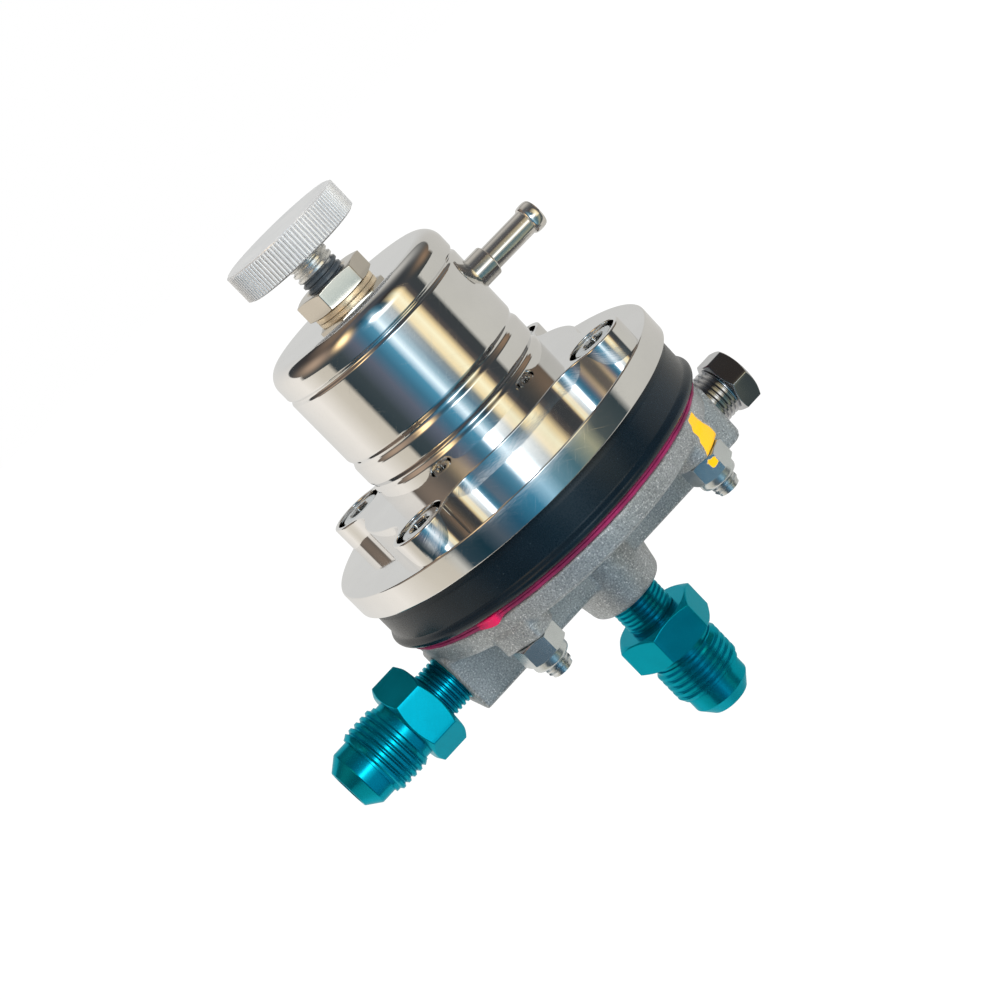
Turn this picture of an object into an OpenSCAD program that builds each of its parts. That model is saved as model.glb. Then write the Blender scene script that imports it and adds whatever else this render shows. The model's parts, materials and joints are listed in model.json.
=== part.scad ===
// Adjustable fuel pressure regulator with a diaphragm, two flare adaptors and a vacuum nipple.
// Millimetres. The origin is on the body's axis at the outer end of the outlet's full flare thread.
// +Z runs up the axis to the knob, the inlet points to -X, the plug and the nipple point to +X.

/* [Adaptor fittings] */
// Flare thread diameter
flare_thread_d = 14.29; // [13:0.01:16]
// Length of full flare thread
flare_thread_len = 6.1; // [4:0.1:9]
// Length of the chamfer that leads onto the flare thread
flare_lead_len = 0.8; // [0.4:0.1:1.2]
// Diameter of the plain nose ahead of the thread
flare_nose_d = 12.2; // [11:0.1:12.8]
// Length of the plain nose
flare_nose_len = 3.1; // [2:0.1:4]
// Diameter of the flare's tip
flare_tip_d = 8.2; // [7.6:0.1:10]
// Half angle of the flare cone
flare_angle = 37; // [30:1:45]
// Diameter of the relief between thread and hexagon
fitting_neck_d = 12.6; // [11:0.1:12.9]
// Length of that relief
fitting_neck_len = 2.2; // [1:0.1:4]
// Adaptor hexagon across flats
fitting_hex_af = 16; // [15:0.1:19]
// Adaptor hexagon length
fitting_hex_len = 7.2; // [5:0.1:10]
// Bore through the adaptors
fitting_bore_d = 6.8; // [6.4:0.1:7]
// Port thread diameter
port_thread_d = 10; // [9.4:0.1:10.6]
// Length of the adaptors' port thread
port_thread_len = 12; // [11:0.1:13]
// Port thread left showing at the inlet
inlet_standoff = 4.9; // [4:0.1:6]
// Port thread left showing at the outlet
outlet_standoff = 6; // [5:0.1:7]

/* [Port plug] */
// Plug hexagon across flats
plug_hex_af = 11; // [10:0.1:13]
// Plug hexagon length
plug_hex_len = 4.6; // [4:0.1:8]
// Length of the plug's thread
plug_thread_len = 9.7; // [9:0.1:12]
// Plug thread left showing
plug_standoff = 4.6; // [4:0.1:6]
// Turn of the plug's hexagon about its axis
plug_turn = 24; // [0:1:59]

/* [Base casting] */
// How far the rim's sealing edge lies inside the diaphragm's edge
rim_setback = 0.5; // [0:0.1:1]
// How much the rim narrows to its lower edge, on the radius
rim_draft = 0.5; // [0:0.1:1]
// Height of the rim
rim_h = 4.5; // [4:0.1:6]
// Radius on the rim's lower edge
rim_edge_r = 0.9; // [0.3:0.1:1.5]
// Width of the cross bar
bar_w = 15; // [14:0.1:18]
// How far each end of the cross bar lies inside the rim's edge
bar_setback = 0.3; // [0.1:0.1:2]
// Height of the cross bar under the rim
bar_h = 11; // [10.2:0.1:14]
// Radius on the cross bar's long lower edges
bar_edge_r = 0.8; // [0.3:0.1:1.4]
// Radius on the cross bar's lower edge at the plug's end
bar_end_r = 1.8; // [0.5:0.1:1.8]
// Drop of the side ports' axis below the rim
port_drop = 4.1; // [3.8:0.1:4.4]
// Diameter of the outlet boss under the bar
boss_d = 17.4; // [16.4:0.1:19]
// How much the boss narrows to its lower face, on the radius
boss_draft = 0.9; // [0:0.1:1]
// Height of the boss under the bar
boss_h = 7; // [6:0.1:10]
// Radius on the boss's lower edge
boss_edge_r = 2.2; // [1:0.1:2.3]
// Diameter of the lugs under the cover screws
lug_d = 10.6; // [10:0.1:12]
// Height of the lugs under the rim
lug_h = 2.8; // [2:0.1:4]
// Sealing land between the fuel chamber and the ring's bore
chamber_land = 2; // [1:0.5:4]
// Depth of the fuel chamber
chamber_depth = 2.4; // [2:0.1:2.8]
// Diameter of the pit around the valve seat
pit_d = 13; // [12:0.1:14]
// Depth of that pit below the chamber's floor
pit_depth = 3.1; // [2.6:0.1:3.4]
// Depth of the tapped ports
port_depth = 9; // [8.2:0.1:9.6]
// Diameter of the drilled fuel passages
passage_d = 5.8; // [4:0.1:6]
// Distance of the upward feed holes from the axis
feed_x = 13; // [12:0.1:15]

/* [Diaphragm] */
// How far the diaphragm's edge lies inside the ring
diaphragm_setback = 0.55; // [0.2:0.05:1]
// Diaphragm thickness
diaphragm_t = 1.4; // [1:0.1:2]
// Radius of the small moulding tab on its edge
tab_r = 2.2; // [1.5:0.1:3]
// How far the tab stands out
tab_out = 0.9; // [0.4:0.1:1.4]
// Direction of the tab about the axis
tab_turn = 225; // [180:1:270]

/* [Spacer ring] */
// How far the ring lies inside the flange's edge
ring_setback = 1.4; // [0.8:0.1:2]
// Height of the ring
ring_h = 8.9; // [8:0.1:11]
// How far the rolled lip stands out of the ring
lip_out = 0.8; // [0.4:0.1:1.2]
// Height of the rolled lip
lip_h = 3.6; // [2.6:0.1:5]
// Wall between the ring's bore and the circle of the cover screws
ring_wall = 6.65; // [5:0.05:8]

/* [Bonnet] */
// Flange diameter
flange_d = 73.9; // [73:0.1:76]
// Flange height
flange_h = 5.15; // [4:0.05:7]
// Radius on the flange's edges
flange_edge_r = 0.3; // [0.2:0.05:0.6]
// Diameter of the raised layer between the bosses
layer_d = 52; // [48:0.5:54]
// Height of the raised layer
layer_h = 5.35; // [5.2:0.05:7]
// Ledge of the flange's flat top left outside the screw bosses
lobe_ledge = 0.05; // [0.05:0.05:0.6]
// Fillet between the screw bosses and the raised layer
lobe_fillet_r = 7.5; // [5:0.1:9]
// Tower diameter
tower_d = 39.45; // [38:0.05:41]
// Tower height above the raised layer
tower_h = 31.9; // [30:0.1:36]
// Radius on the tower's shoulder
shoulder_r = 3.4; // [2:0.1:4]
// Thickness of the tower's roof
roof_t = 8; // [6:0.1:9]
// Spring chamber diameter
spring_bore_d = 30.4; // [29:0.1:32]
// Depth of the wide recess in the flange's lower face
recess_depth = 3; // [2:0.1:3.6]
// Depth of the turned grooves in the tower
groove_depth = 0.45; // [0.3:0.05:0.8]
// Grooves: height of each one's middle above the raised layer, lowest first
groove_z = [4.7, 10.1, 25.6]; // [3:0.1:27]
// Grooves: width of each one, lowest first
groove_w = [1.9, 2.2, 1.3]; // [1:0.1:2.6]

/* [Cover screws] */
// How far the cover screws stand inside the flange's edge
screw_inset = 6.3; // [6:0.1:7]
// Number of cover screws
screw_count = 4; // [4:1:4]
// Screw shank diameter
screw_d = 5; // [4.6:0.1:5.2]
// Screw length under the head
screw_len = 31; // [29:0.5:32]
// Head diameter
head_d = 8.5; // [8:0.1:9]
// Head height
head_h = 5; // [4.6:0.1:5.1]
// Hexagon socket across flats
socket_af = 4; // [3:0.1:5]
// Hexagon socket depth
socket_depth = 2.5; // [2:0.1:3]
// Counterbore diameter
counterbore_d = 10; // [9.2:0.1:10.8]
// Clearance hole diameter
screw_hole_d = 5.5; // [5.3:0.1:6]
// Nut across flats
cover_nut_af = 8; // [7.6:0.1:9]
// Nut height with its collar
cover_nut_h = 5.9; // [5:0.1:6.4]
// Height of the nut's collar
cover_nut_collar_h = 1.8; // [1.2:0.1:2.2]
// Diameter of the nut's collar
cover_nut_collar_d = 7.4; // [7.2:0.1:7.6]
// Radius on the collar's lower edge
cover_nut_collar_r = 0.9; // [0.4:0.1:0.9]
// Turn of the nuts about their screws
cover_nut_turn = 40; // [0:1:59]

/* [Adjuster] */
// Knob diameter over the knurl
knob_d = 25; // [22:0.1:28]
// Knob height
knob_h = 6; // [5.4:0.1:8]
// Number of knurls
knob_knurls = 100; // [80:2:120]
// Depth of the knurl
knurl_depth = 0.4; // [0.2:0.05:0.6]
// Chamfer at the knob's rims
knob_chamfer = 0.5; // [0.3:0.1:1]
// Free thread between the knob and the lock nut
knob_gap = 6.1; // [5.8:0.1:9]
// Depth of the knob's hole over the screw
knob_socket = 4.4; // [3:0.1:4.6]
// Adjusting screw diameter
adjuster_d = 8; // [7.4:0.1:8.4]
// Reach of the adjusting screw into the spring chamber
adjuster_reach = 5.7; // [5:0.1:8]
// Lock nut across flats
lock_nut_af = 13; // [12:0.1:14]
// Lock nut height
lock_nut_h = 4; // [3:0.1:6.5]
// Seal washer diameter
washer_d = 13; // [12.4:0.1:15]
// Seal washer thickness
washer_t = 1; // [0.8:0.1:2]

/* [Vacuum nipple] */
// Height of the nipple's axis above the raised layer
nipple_z = 18.5; // [17:0.1:20]
// Collar diameter
nipple_collar_d = 6.3; // [5.8:0.1:7]
// Collar length outside the tower
nipple_collar_len = 4.5; // [3:0.1:5]
// Pipe diameter
nipple_pipe_d = 4.9; // [4.4:0.1:5.2]
// Length of plain pipe between the collar and the bead
nipple_pipe_len = 9.6; // [7:0.1:12]
// Bead diameter
nipple_bead_d = 5.9; // [5.4:0.1:6.4]
// Bead length
nipple_bead_len = 2.7; // [2.2:0.1:3.6]
// Nipple bore
nipple_bore_d = 2.8; // [2:0.1:3.2]
// Diameter of the spigot pressed into the tower
nipple_spigot_d = 5; // [4.6:0.1:5.4]
// Diameter of the spot face on the tower
spot_face_d = 7.4; // [7.2:0.1:9]
// How far the spot face is sunk below the tower's wall at its sides
spot_face_sink = 0.12; // [0.05:0.01:0.3]

/* [Valve and spring] */
// Spring wire diameter
wire_d = 3; // [2.4:0.1:3.2]
// Spring diameter at the middle of the wire
spring_d = 22; // [21:0.1:22.6]
// Number of turns
spring_turns = 6; // [5:0.5:7]
// Spring seat thickness
seat_disc_t = 4.2; // [3.8:0.1:5]
// Diameter of the spigot inside the spring
seat_spigot_d = 17.6; // [15:0.1:17.8]
// Length of that spigot
seat_spigot_len = 3; // [2:0.1:4]
// Thrust ball diameter
ball_d = 6; // [5:0.1:6.6]
// How far the ball's middle stands above the spring seat
ball_rise = 0.8; // [0.4:0.1:1.2]
// Diaphragm plate diameter
plate_d = 30; // [29:0.1:34]
// Diaphragm plate thickness
plate_t = 1.5; // [1.2:0.1:1.6]
// Height of the spring cup's rim above its floor
cup_h = 3; // [2:0.1:5]
// Valve stem diameter
stem_d = 6; // [5:0.1:6.4]
// Valve head diameter
valve_head_d = 9.2; // [8.8:0.1:10]
// Valve head thickness
valve_head_t = 1.9; // [1.8:0.1:2.2]
// Sealing pad diameter
pad_d = 7.2; // [6.4:0.1:7.4]
// Sealing pad thickness
pad_t = 1; // [0.8:0.1:1.2]
// How far the pad stands below the valve head
pad_proud = 0.2; // [0.1:0.05:0.3]
// Stem nut across flats
stem_nut_af = 10; // [9:0.1:11]
// Stem nut height
stem_nut_h = 3.2; // [2.4:0.1:4]
// Stem left showing above its nut
stem_proud = 1; // [0.5:0.1:2]
// Valve seat insert diameter
seat_insert_d = 9; // [8.6:0.1:9.4]
// Valve seat insert length
seat_insert_len = 7.4; // [6.4:0.1:7.6]
// Valve seat hole
seat_hole_d = 4; // [3:0.1:4.6]
// Diameter of the land that the pad closes on
seat_land_d = 5.8; // [5:0.1:6.2]
// Height of that land's sloped side
seat_land_h = 0.8; // [0.5:0.1:1]

/* [Clearances] */
// Radial gap of a screwed or pressed piece in its hole
thread_gap = 0.02; // [0.01:0.01:0.05]
// Radial gap of the turning screw in the tower and the lock nut
running_gap = 0.05; // [0.03:0.01:0.09]
// Gap at a contact between moving pieces
contact_gap = 0.03; // [0.02:0.01:0.06]
// Radial gap of pieces that slide or float in a wider bore
slide_gap = 0.3; // [0.25:0.01:0.4]

/* [Hidden] */
$fn = 64;

// Length by which a cutter runs past the face that it cuts
over = 1;
// Slope of the chamfer on hexagons
hex_chamfer_angle = 30;
// Width of a hexagon's chamfered end face as a share of its width across flats
hex_face_share = 0.97;
// Chamfer at the end of a screwed-in thread
thread_lead = 0.6;
// Chamfer on small turned edges
small_ease = 0.4;
// How far the hollow fillets bite into the rounds that they join
fillet_bite = 0.05;
// Slope length at each side of the hose bead
bead_ease = 0.6;
// Direction of the first cover screw, midway between the ports
first_screw_turn = 45;
// Rise of the spring's end turns and depth of their ground faces, as shares of the wire
dead_turn_rise = 1.03;
ground_share = 0.25;

// Levels up the axis, each from the one below it
flare_nose_z = -flare_lead_len - flare_nose_len;
flare_tip_z = flare_nose_z - (flare_nose_d - flare_tip_d) / 2 / tan(flare_angle);
fitting_hex_z = flare_thread_len + fitting_neck_len;
fitting_shoulder_z = fitting_hex_z + fitting_hex_len;
boss_z = fitting_shoulder_z + outlet_standoff;
bar_z = boss_z + boss_h;
rim_z = bar_z + bar_h;
seal_z = rim_z + rim_h;
ring_z = seal_z + diaphragm_t;
flange_z = ring_z + ring_h;
layer_z = flange_z + flange_h;
tower_z = layer_z + layer_h;
roof_z = tower_z + tower_h;
washer_z = roof_z;
lock_nut_z = washer_z + washer_t;
knob_z = lock_nut_z + lock_nut_h + knob_gap;
port_z = rim_z - port_drop;
chamber_z = seal_z - chamber_depth;
pit_z = chamber_z - pit_depth;
lug_z = rim_z - lug_h;
nipple_axis_z = tower_z + nipple_z;

// Valve train, from the diaphragm down to the seat and up to the adjusting screw
lower_plate_z = seal_z - plate_t;
valve_head_z = lower_plate_z - valve_head_t;
pad_z = valve_head_z - pad_proud;
seat_land_z = pad_z - contact_gap;
cup_floor_z = ring_z + plate_t;
stem_nut_z = cup_floor_z;
adjuster_end_z = roof_z - roof_t - adjuster_reach;
ball_z = adjuster_end_z - contact_gap - ball_d / 2;
seat_disc_z = ball_z - ball_rise - seat_disc_t;
cup_rim_d = spring_d + wire_d + 2 * slide_gap;
seat_disc_d = spring_bore_d - 2 * slide_gap;

// Rounds that follow the flange, from the outside in
screw_pcd = flange_d - 2 * screw_inset;
ring_d = flange_d - 2 * ring_setback;
lip_d = ring_d + 2 * lip_out;
ring_bore_d = screw_pcd - 2 * ring_wall;
diaphragm_d = ring_d - 2 * diaphragm_setback;
rim_d = diaphragm_d - 2 * rim_setback;
bar_len = rim_d - 2 * bar_setback;
chamber_d = ring_bore_d - 2 * chamber_land;
lobe_r = screw_inset - flange_edge_r - lobe_ledge;

// Holes around the threads
port_hole_d = port_thread_d + 2 * thread_gap;
port_face_x = bar_len / 2;
inlet_thread_x = -port_face_x - inlet_standoff - fitting_shoulder_z;
spot_face_x = sqrt(pow(tower_d / 2, 2) - pow(spot_face_d / 2, 2)) - spot_face_sink;

// Repeats its children at each cover screw
module at_screws() {
    for (i = [0 : screw_count - 1])
        rotate(first_screw_turn + i * 360 / screw_count)
            translate([screw_pcd / 2, 0, 0])
                children();
}

// Turned solid from an outline of radius and height
module turned(outline) {
    rotate_extrude()
        polygon(outline);
}

// Hexagon bar with chamfered corners at the chosen ends
module hexagon(af, h, low = true, high = true) {
    corner_r = af / 2 / cos(30);
    flat_r = af / 2 * hex_face_share;
    drop = (corner_r + over - flat_r) * tan(hex_chamfer_angle);
    intersection() {
        cylinder(r = corner_r, h = h, $fn = 6);
        turned([
            [0, 0],
            [low ? flat_r : corner_r + over, 0],
            [corner_r + over, low ? drop : 0],
            [corner_r + over, high ? h - drop : h],
            [high ? flat_r : corner_r + over, h],
            [0, h]
        ]);
    }
}

// Adaptor along +Z with its full flare thread starting at 0 and its port thread on top
module adaptor() {
    end_z = fitting_shoulder_z + port_thread_len;
    difference() {
        union() {
            turned([
                [0, flare_tip_z],
                [flare_tip_d / 2, flare_tip_z],
                [flare_nose_d / 2, flare_nose_z],
                [flare_nose_d / 2, -flare_lead_len],
                [flare_thread_d / 2, 0],
                [flare_thread_d / 2, flare_thread_len],
                [fitting_neck_d / 2, flare_thread_len + (flare_thread_d - fitting_neck_d) / 2],
                [fitting_neck_d / 2, fitting_hex_z],
                [port_thread_d / 2, fitting_hex_z],
                [port_thread_d / 2, end_z - thread_lead],
                [port_thread_d / 2 - thread_lead, end_z],
                [0, end_z]
            ]);
            translate([0, 0, fitting_hex_z])
                hexagon(fitting_hex_af, fitting_hex_len);
        }
        translate([0, 0, flare_tip_z - over])
            cylinder(d = fitting_bore_d, h = end_z - flare_tip_z + 2 * over);
    }
}

module outlet_fitting() {
    color([0.02, 0.5, 0.6])
        adaptor();
}

module inlet_fitting() {
    color([0.02, 0.5, 0.6])
        translate([inlet_thread_x, 0, port_z])
            rotate([0, 90, 0])
                adaptor();
}

// Plug along +X, its hexagon outermost
module port_plug() {
    color([0.75, 0.76, 0.78])
        translate([port_face_x + plug_standoff, 0, port_z])
            rotate([0, 90, 0])
                union() {
                    rotate(plug_turn)
                        hexagon(plug_hex_af, plug_hex_len);
                    translate([0, 0, -plug_thread_len])
                        turned([
                            [0, 0],
                            [port_thread_d / 2 - thread_lead, 0],
                            [port_thread_d / 2, thread_lead],
                            [port_thread_d / 2, plug_thread_len],
                            [0, plug_thread_len]
                        ]);
                }
}

// Round rim with a drafted wall and a rounded lower edge
module casting_rim() {
    low_r = rim_d / 2 - rim_draft;
    rotate_extrude()
        union() {
            polygon([
                [0, rim_z],
                [low_r - rim_edge_r, rim_z],
                [low_r - rim_edge_r, rim_z + rim_edge_r],
                [low_r, rim_z + rim_edge_r],
                [rim_d / 2, seal_z],
                [0, seal_z]
            ]);
            translate([low_r - rim_edge_r, rim_z + rim_edge_r])
                circle(rim_edge_r);
        }
}

// Section of the cross bar, with rounded long edges
module bar_section() {
    half_w = bar_w / 2;
    translate([-half_w, bar_z + bar_edge_r])
        square([bar_w, bar_h - bar_edge_r + over]);
    translate([-half_w + bar_edge_r, bar_z])
        square([bar_w - 2 * bar_edge_r, bar_edge_r + over]);
    for (side = [-1, 1])
        translate([side * (half_w - bar_edge_r), bar_z + bar_edge_r])
            circle(bar_edge_r);
}

// Side outline of the cross bar, with a rounded corner at the plug's end
module bar_side() {
    translate([-port_face_x, bar_z])
        square([bar_len - bar_end_r, bar_h + over]);
    translate([0, bar_z + bar_end_r])
        square([port_face_x, bar_h - bar_end_r + over]);
    translate([port_face_x - bar_end_r, bar_z + bar_end_r])
        circle(bar_end_r);
}

// Cross bar, its section and its side outline crossed
module casting_bar() {
    intersection() {
        translate([-port_face_x - over, 0, 0])
            rotate([90, 0, 90])
                linear_extrude(bar_len + 2 * over)
                    bar_section();
        translate([0, bar_w / 2 + over, 0])
            rotate([90, 0, 0])
                linear_extrude(bar_w + 2 * over)
                    bar_side();
    }
}

// Tapered outlet boss with a rounded lower edge, run up through the bar to the rim
module casting_boss() {
    low_r = boss_d / 2 - boss_draft;
    rotate_extrude()
        union() {
            polygon([
                [0, boss_z],
                [low_r - boss_edge_r, boss_z],
                [low_r - boss_edge_r, boss_z + boss_edge_r],
                [low_r, boss_z + boss_edge_r],
                [boss_d / 2, bar_z],
                [boss_d / 2, rim_z + over],
                [0, rim_z + over]
            ]);
            translate([low_r - boss_edge_r, boss_z + boss_edge_r])
                circle(boss_edge_r);
        }
}

// Lugs that the nuts sit on, kept inside the rim's upper edge
module casting_lugs() {
    intersection() {
        at_screws()
            translate([0, 0, lug_z])
                cylinder(d = lug_d, h = rim_z - lug_z + over);
        translate([0, 0, lug_z - over])
            cylinder(d = rim_d, h = rim_z - lug_z + 3 * over);
    }
}

// Tapped ports, drilled passages, the fuel chamber and the valve seat's bore
module casting_passages() {
    seat_bore_z = seat_land_z - seat_insert_len;
    translate([0, 0, chamber_z])
        cylinder(d = chamber_d, h = chamber_depth + over);
    translate([0, 0, pit_z])
        cylinder(d = pit_d, h = pit_depth + over);
    translate([0, 0, seat_bore_z])
        cylinder(d = seat_insert_d + 2 * thread_gap, h = pit_z - seat_bore_z + over);
    translate([0, 0, boss_z - over])
        cylinder(d = port_hole_d, h = port_depth + over);
    translate([0, 0, boss_z])
        cylinder(d = passage_d, h = seat_bore_z - boss_z + over);
    for (side = [-1, 1]) {
        translate([side * (port_face_x + over), 0, port_z])
            rotate([0, -side * 90, 0])
                cylinder(d = port_hole_d, h = port_depth + over);
        translate([side * port_face_x, 0, port_z])
            rotate([0, -side * 90, 0])
                cylinder(d = passage_d, h = port_face_x - feed_x);
        translate([side * feed_x, 0, port_z])
            cylinder(d = passage_d, h = chamber_z - port_z + over);
    }
}

module base_casting() {
    color([0.56, 0.57, 0.57])
        difference() {
            union() {
                casting_rim();
                casting_bar();
                casting_boss();
                casting_lugs();
            }
            casting_passages();
            at_screws()
                translate([0, 0, lug_z - over])
                    cylinder(d = screw_hole_d, h = seal_z - lug_z + 2 * over);
        }
}

// Flat diaphragm with a small moulding tab beside the front left screw
module diaphragm() {
    color([0.72, 0.1, 0.33])
        translate([0, 0, seal_z])
            difference() {
                union() {
                    cylinder(d = diaphragm_d, h = diaphragm_t);
                    rotate(tab_turn)
                        translate([diaphragm_d / 2 + tab_out - tab_r, 0, 0])
                            cylinder(r = tab_r, h = diaphragm_t);
                }
                translate([0, 0, -over])
                    cylinder(d = stem_d + 2 * running_gap, h = diaphragm_t + 2 * over);
                at_screws()
                    translate([0, 0, -over])
                        cylinder(d = screw_hole_d, h = diaphragm_t + 2 * over);
            }
}

// Ring with a rolled lip at its lower edge
module spacer_ring() {
    lip_r = lip_h / 2;
    color([0.09, 0.1, 0.11])
        difference() {
            union() {
                translate([0, 0, ring_z])
                    cylinder(d = ring_d, h = ring_h);
                rotate_extrude()
                    union() {
                        translate([ring_bore_d / 2, ring_z])
                            square([lip_d / 2 - lip_r - ring_bore_d / 2, lip_h]);
                        translate([lip_d / 2 - lip_r, ring_z + lip_r])
                            circle(lip_r);
                    }
            }
            translate([0, 0, ring_z - over])
                cylinder(d = ring_bore_d, h = ring_h + 2 * over);
            at_screws()
                translate([0, 0, ring_z - over])
                    cylinder(d = screw_hole_d, h = ring_h + 2 * over);
        }
}

// Round flange with eased edges
module bonnet_flange() {
    r = flange_d / 2;
    e = flange_edge_r;
    rotate_extrude()
        union() {
            translate([0, flange_z])
                square([r - e, flange_h]);
            translate([0, flange_z + e])
                square([r, flange_h - 2 * e]);
            for (z = [flange_z + e, layer_z - e])
                translate([r - e, z])
                    circle(e);
        }
}

// Raised layer: a round of layer_d, the four bosses and the hollow fillets between them
module bonnet_layer() {
    p = screw_pcd / 2;
    to_axis = layer_d / 2 + lobe_fillet_r;
    to_boss = lobe_r + lobe_fillet_r;
    fillet_x = (pow(to_axis, 2) + pow(p, 2) - pow(to_boss, 2)) / (2 * p);
    fillet_y = sqrt(pow(to_axis, 2) - pow(fillet_x, 2));
    translate([0, 0, layer_z - over])
        linear_extrude(layer_h + over)
            union() {
                circle(d = layer_d);
                at_screws()
                    circle(lobe_r);
                for (i = [0 : screw_count - 1])
                    rotate(first_screw_turn + i * 360 / screw_count)
                        difference() {
                            polygon([[0, 0], [fillet_x, -fillet_y], [p, 0], [fillet_x, fillet_y]]);
                            for (side = [-1, 1])
                                translate([fillet_x, side * fillet_y])
                                    circle(lobe_fillet_r + fillet_bite);
                        }
            }
}

// Tower with a rounded shoulder and turned grooves
module bonnet_tower() {
    r = tower_d / 2;
    difference() {
        rotate_extrude()
            union() {
                translate([0, layer_z])
                    square([r, roof_z - layer_z - shoulder_r]);
                translate([0, layer_z])
                    square([r - shoulder_r, roof_z - layer_z]);
                translate([r - shoulder_r, roof_z - shoulder_r])
                    circle(shoulder_r);
            }
        rotate_extrude()
            for (i = [0 : len(groove_z) - 1])
                translate([r - groove_depth, tower_z + groove_z[i] - groove_w[i] / 2])
                    square([groove_depth + over, groove_w[i]]);
    }
}

module bonnet() {
    ceiling_z = roof_z - roof_t;
    color([0.8, 0.81, 0.82])
        difference() {
            union() {
                bonnet_flange();
                bonnet_layer();
                bonnet_tower();
            }
            translate([0, 0, flange_z - over])
                cylinder(d = ring_bore_d, h = recess_depth + over);
            translate([0, 0, flange_z])
                cylinder(d = spring_bore_d, h = ceiling_z - flange_z);
            translate([0, 0, ceiling_z - over])
                cylinder(d = adjuster_d + 2 * running_gap, h = roof_t + 2 * over);
            translate([0, 0, nipple_axis_z])
                rotate([0, 90, 0]) {
                    cylinder(d = nipple_spigot_d + 2 * thread_gap, h = tower_d);
                    translate([0, 0, spot_face_x])
                        cylinder(d = spot_face_d, h = tower_d);
                }
            at_screws() {
                translate([0, 0, flange_z - over])
                    cylinder(d = screw_hole_d, h = flange_h + layer_h + 2 * over);
                translate([0, 0, layer_z])
                    cylinder(d = counterbore_d, h = layer_h + over);
            }
        }
}

// Nipple along +X with a collar, a plain pipe and a hose bead
module vacuum_nipple() {
    spigot_len = spot_face_x - spring_bore_d / 2;
    pipe_z = nipple_collar_len;
    bead_z = pipe_z + nipple_pipe_len;
    end_z = bead_z + nipple_bead_len;
    color([0.78, 0.78, 0.77])
        translate([spot_face_x, 0, nipple_axis_z])
            rotate([0, 90, 0])
                difference() {
                    turned([
                        [0, -spigot_len],
                        [nipple_spigot_d / 2, -spigot_len],
                        [nipple_spigot_d / 2, 0],
                        [nipple_collar_d / 2, 0],
                        [nipple_collar_d / 2, pipe_z - small_ease],
                        [nipple_pipe_d / 2, pipe_z],
                        [nipple_pipe_d / 2, bead_z],
                        [nipple_bead_d / 2, bead_z + bead_ease],
                        [nipple_bead_d / 2, end_z - bead_ease],
                        [nipple_pipe_d / 2, end_z],
                        [0, end_z]
                    ]);
                    translate([0, 0, -spigot_len - over])
                        cylinder(d = nipple_bore_d, h = spigot_len + end_z + 2 * over);
                }
}

// Socket-head cap screws standing on the counterbore floors
module cover_screws() {
    color([0.72, 0.75, 0.78])
        at_screws()
            translate([0, 0, layer_z])
                difference() {
                    turned([
                        [0, -screw_len],
                        [screw_d / 2 - small_ease, -screw_len],
                        [screw_d / 2, small_ease - screw_len],
                        [screw_d / 2, 0],
                        [head_d / 2, 0],
                        [head_d / 2, head_h - small_ease],
                        [head_d / 2 - small_ease, head_h],
                        [0, head_h]
                    ]);
                    translate([0, 0, head_h - socket_depth])
                        cylinder(r = socket_af / 2 / cos(30), h = socket_depth + over, $fn = 6);
                }
}

// Rounded collar of a locking nut, run up into its hexagon
module nut_collar() {
    r = cover_nut_collar_d / 2;
    rotate_extrude()
        union() {
            translate([0, cover_nut_collar_r])
                square([r, cover_nut_collar_h - cover_nut_collar_r + over]);
            square([r - cover_nut_collar_r, cover_nut_collar_h]);
            translate([r - cover_nut_collar_r, cover_nut_collar_r])
                circle(cover_nut_collar_r);
        }
}

// Locking nuts under the lugs, their collars downwards
module cover_nuts() {
    color([0.7, 0.73, 0.75])
        for (i = [0 : screw_count - 1])
            rotate(first_screw_turn + i * 360 / screw_count)
                translate([screw_pcd / 2, 0, lug_z - cover_nut_h])
                    rotate(cover_nut_turn - first_screw_turn - i * 360 / screw_count)
                        difference() {
                            union() {
                                translate([0, 0, cover_nut_collar_h])
                                    hexagon(cover_nut_af, cover_nut_h - cover_nut_collar_h);
                                nut_collar();
                            }
                            translate([0, 0, -over])
                                cylinder(d = screw_d + 2 * thread_gap, h = cover_nut_h + 2 * over);
                        }
}

module seal_washer() {
    color([0.72, 0.45, 0.27])
        translate([0, 0, washer_z])
            difference() {
                cylinder(d = washer_d, h = washer_t);
                translate([0, 0, -over])
                    cylinder(d = adjuster_d + 2 * slide_gap, h = washer_t + 2 * over);
            }
}

module lock_nut() {
    color([0.66, 0.65, 0.62])
        translate([0, 0, lock_nut_z])
            difference() {
                hexagon(lock_nut_af, lock_nut_h);
                translate([0, 0, -over])
                    cylinder(d = adjuster_d + 2 * running_gap, h = lock_nut_h + 2 * over);
            }
}

// Knob with straight knurls, eased at both rims
module adjuster_knob() {
    r = knob_d / 2;
    step = 180 / knob_knurls;
    knurl_r = function(i) r - (i % 2) * knurl_depth;
    color([0.78, 0.78, 0.78])
        translate([0, 0, knob_z])
            difference() {
                intersection() {
                    linear_extrude(knob_h)
                        polygon([
                            for (i = [0 : 2 * knob_knurls - 1])
                                knurl_r(i) * [cos(i * step), sin(i * step)]
                        ]);
                    turned([
                        [0, 0],
                        [r - knob_chamfer, 0],
                        [r + over, knob_chamfer + over],
                        [r + over, knob_h - knob_chamfer - over],
                        [r - knob_chamfer, knob_h],
                        [0, knob_h]
                    ]);
                }
                translate([0, 0, -over])
                    cylinder(d = adjuster_d + 2 * thread_gap, h = knob_socket + over);
            }
}

module adjuster_screw() {
    top_z = knob_z + knob_socket - contact_gap;
    color([0.62, 0.6, 0.57])
        turned([
            [0, adjuster_end_z],
            [adjuster_d / 2 - thread_lead, adjuster_end_z],
            [adjuster_d / 2, adjuster_end_z + thread_lead],
            [adjuster_d / 2, top_z],
            [0, top_z]
        ]);
}

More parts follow.
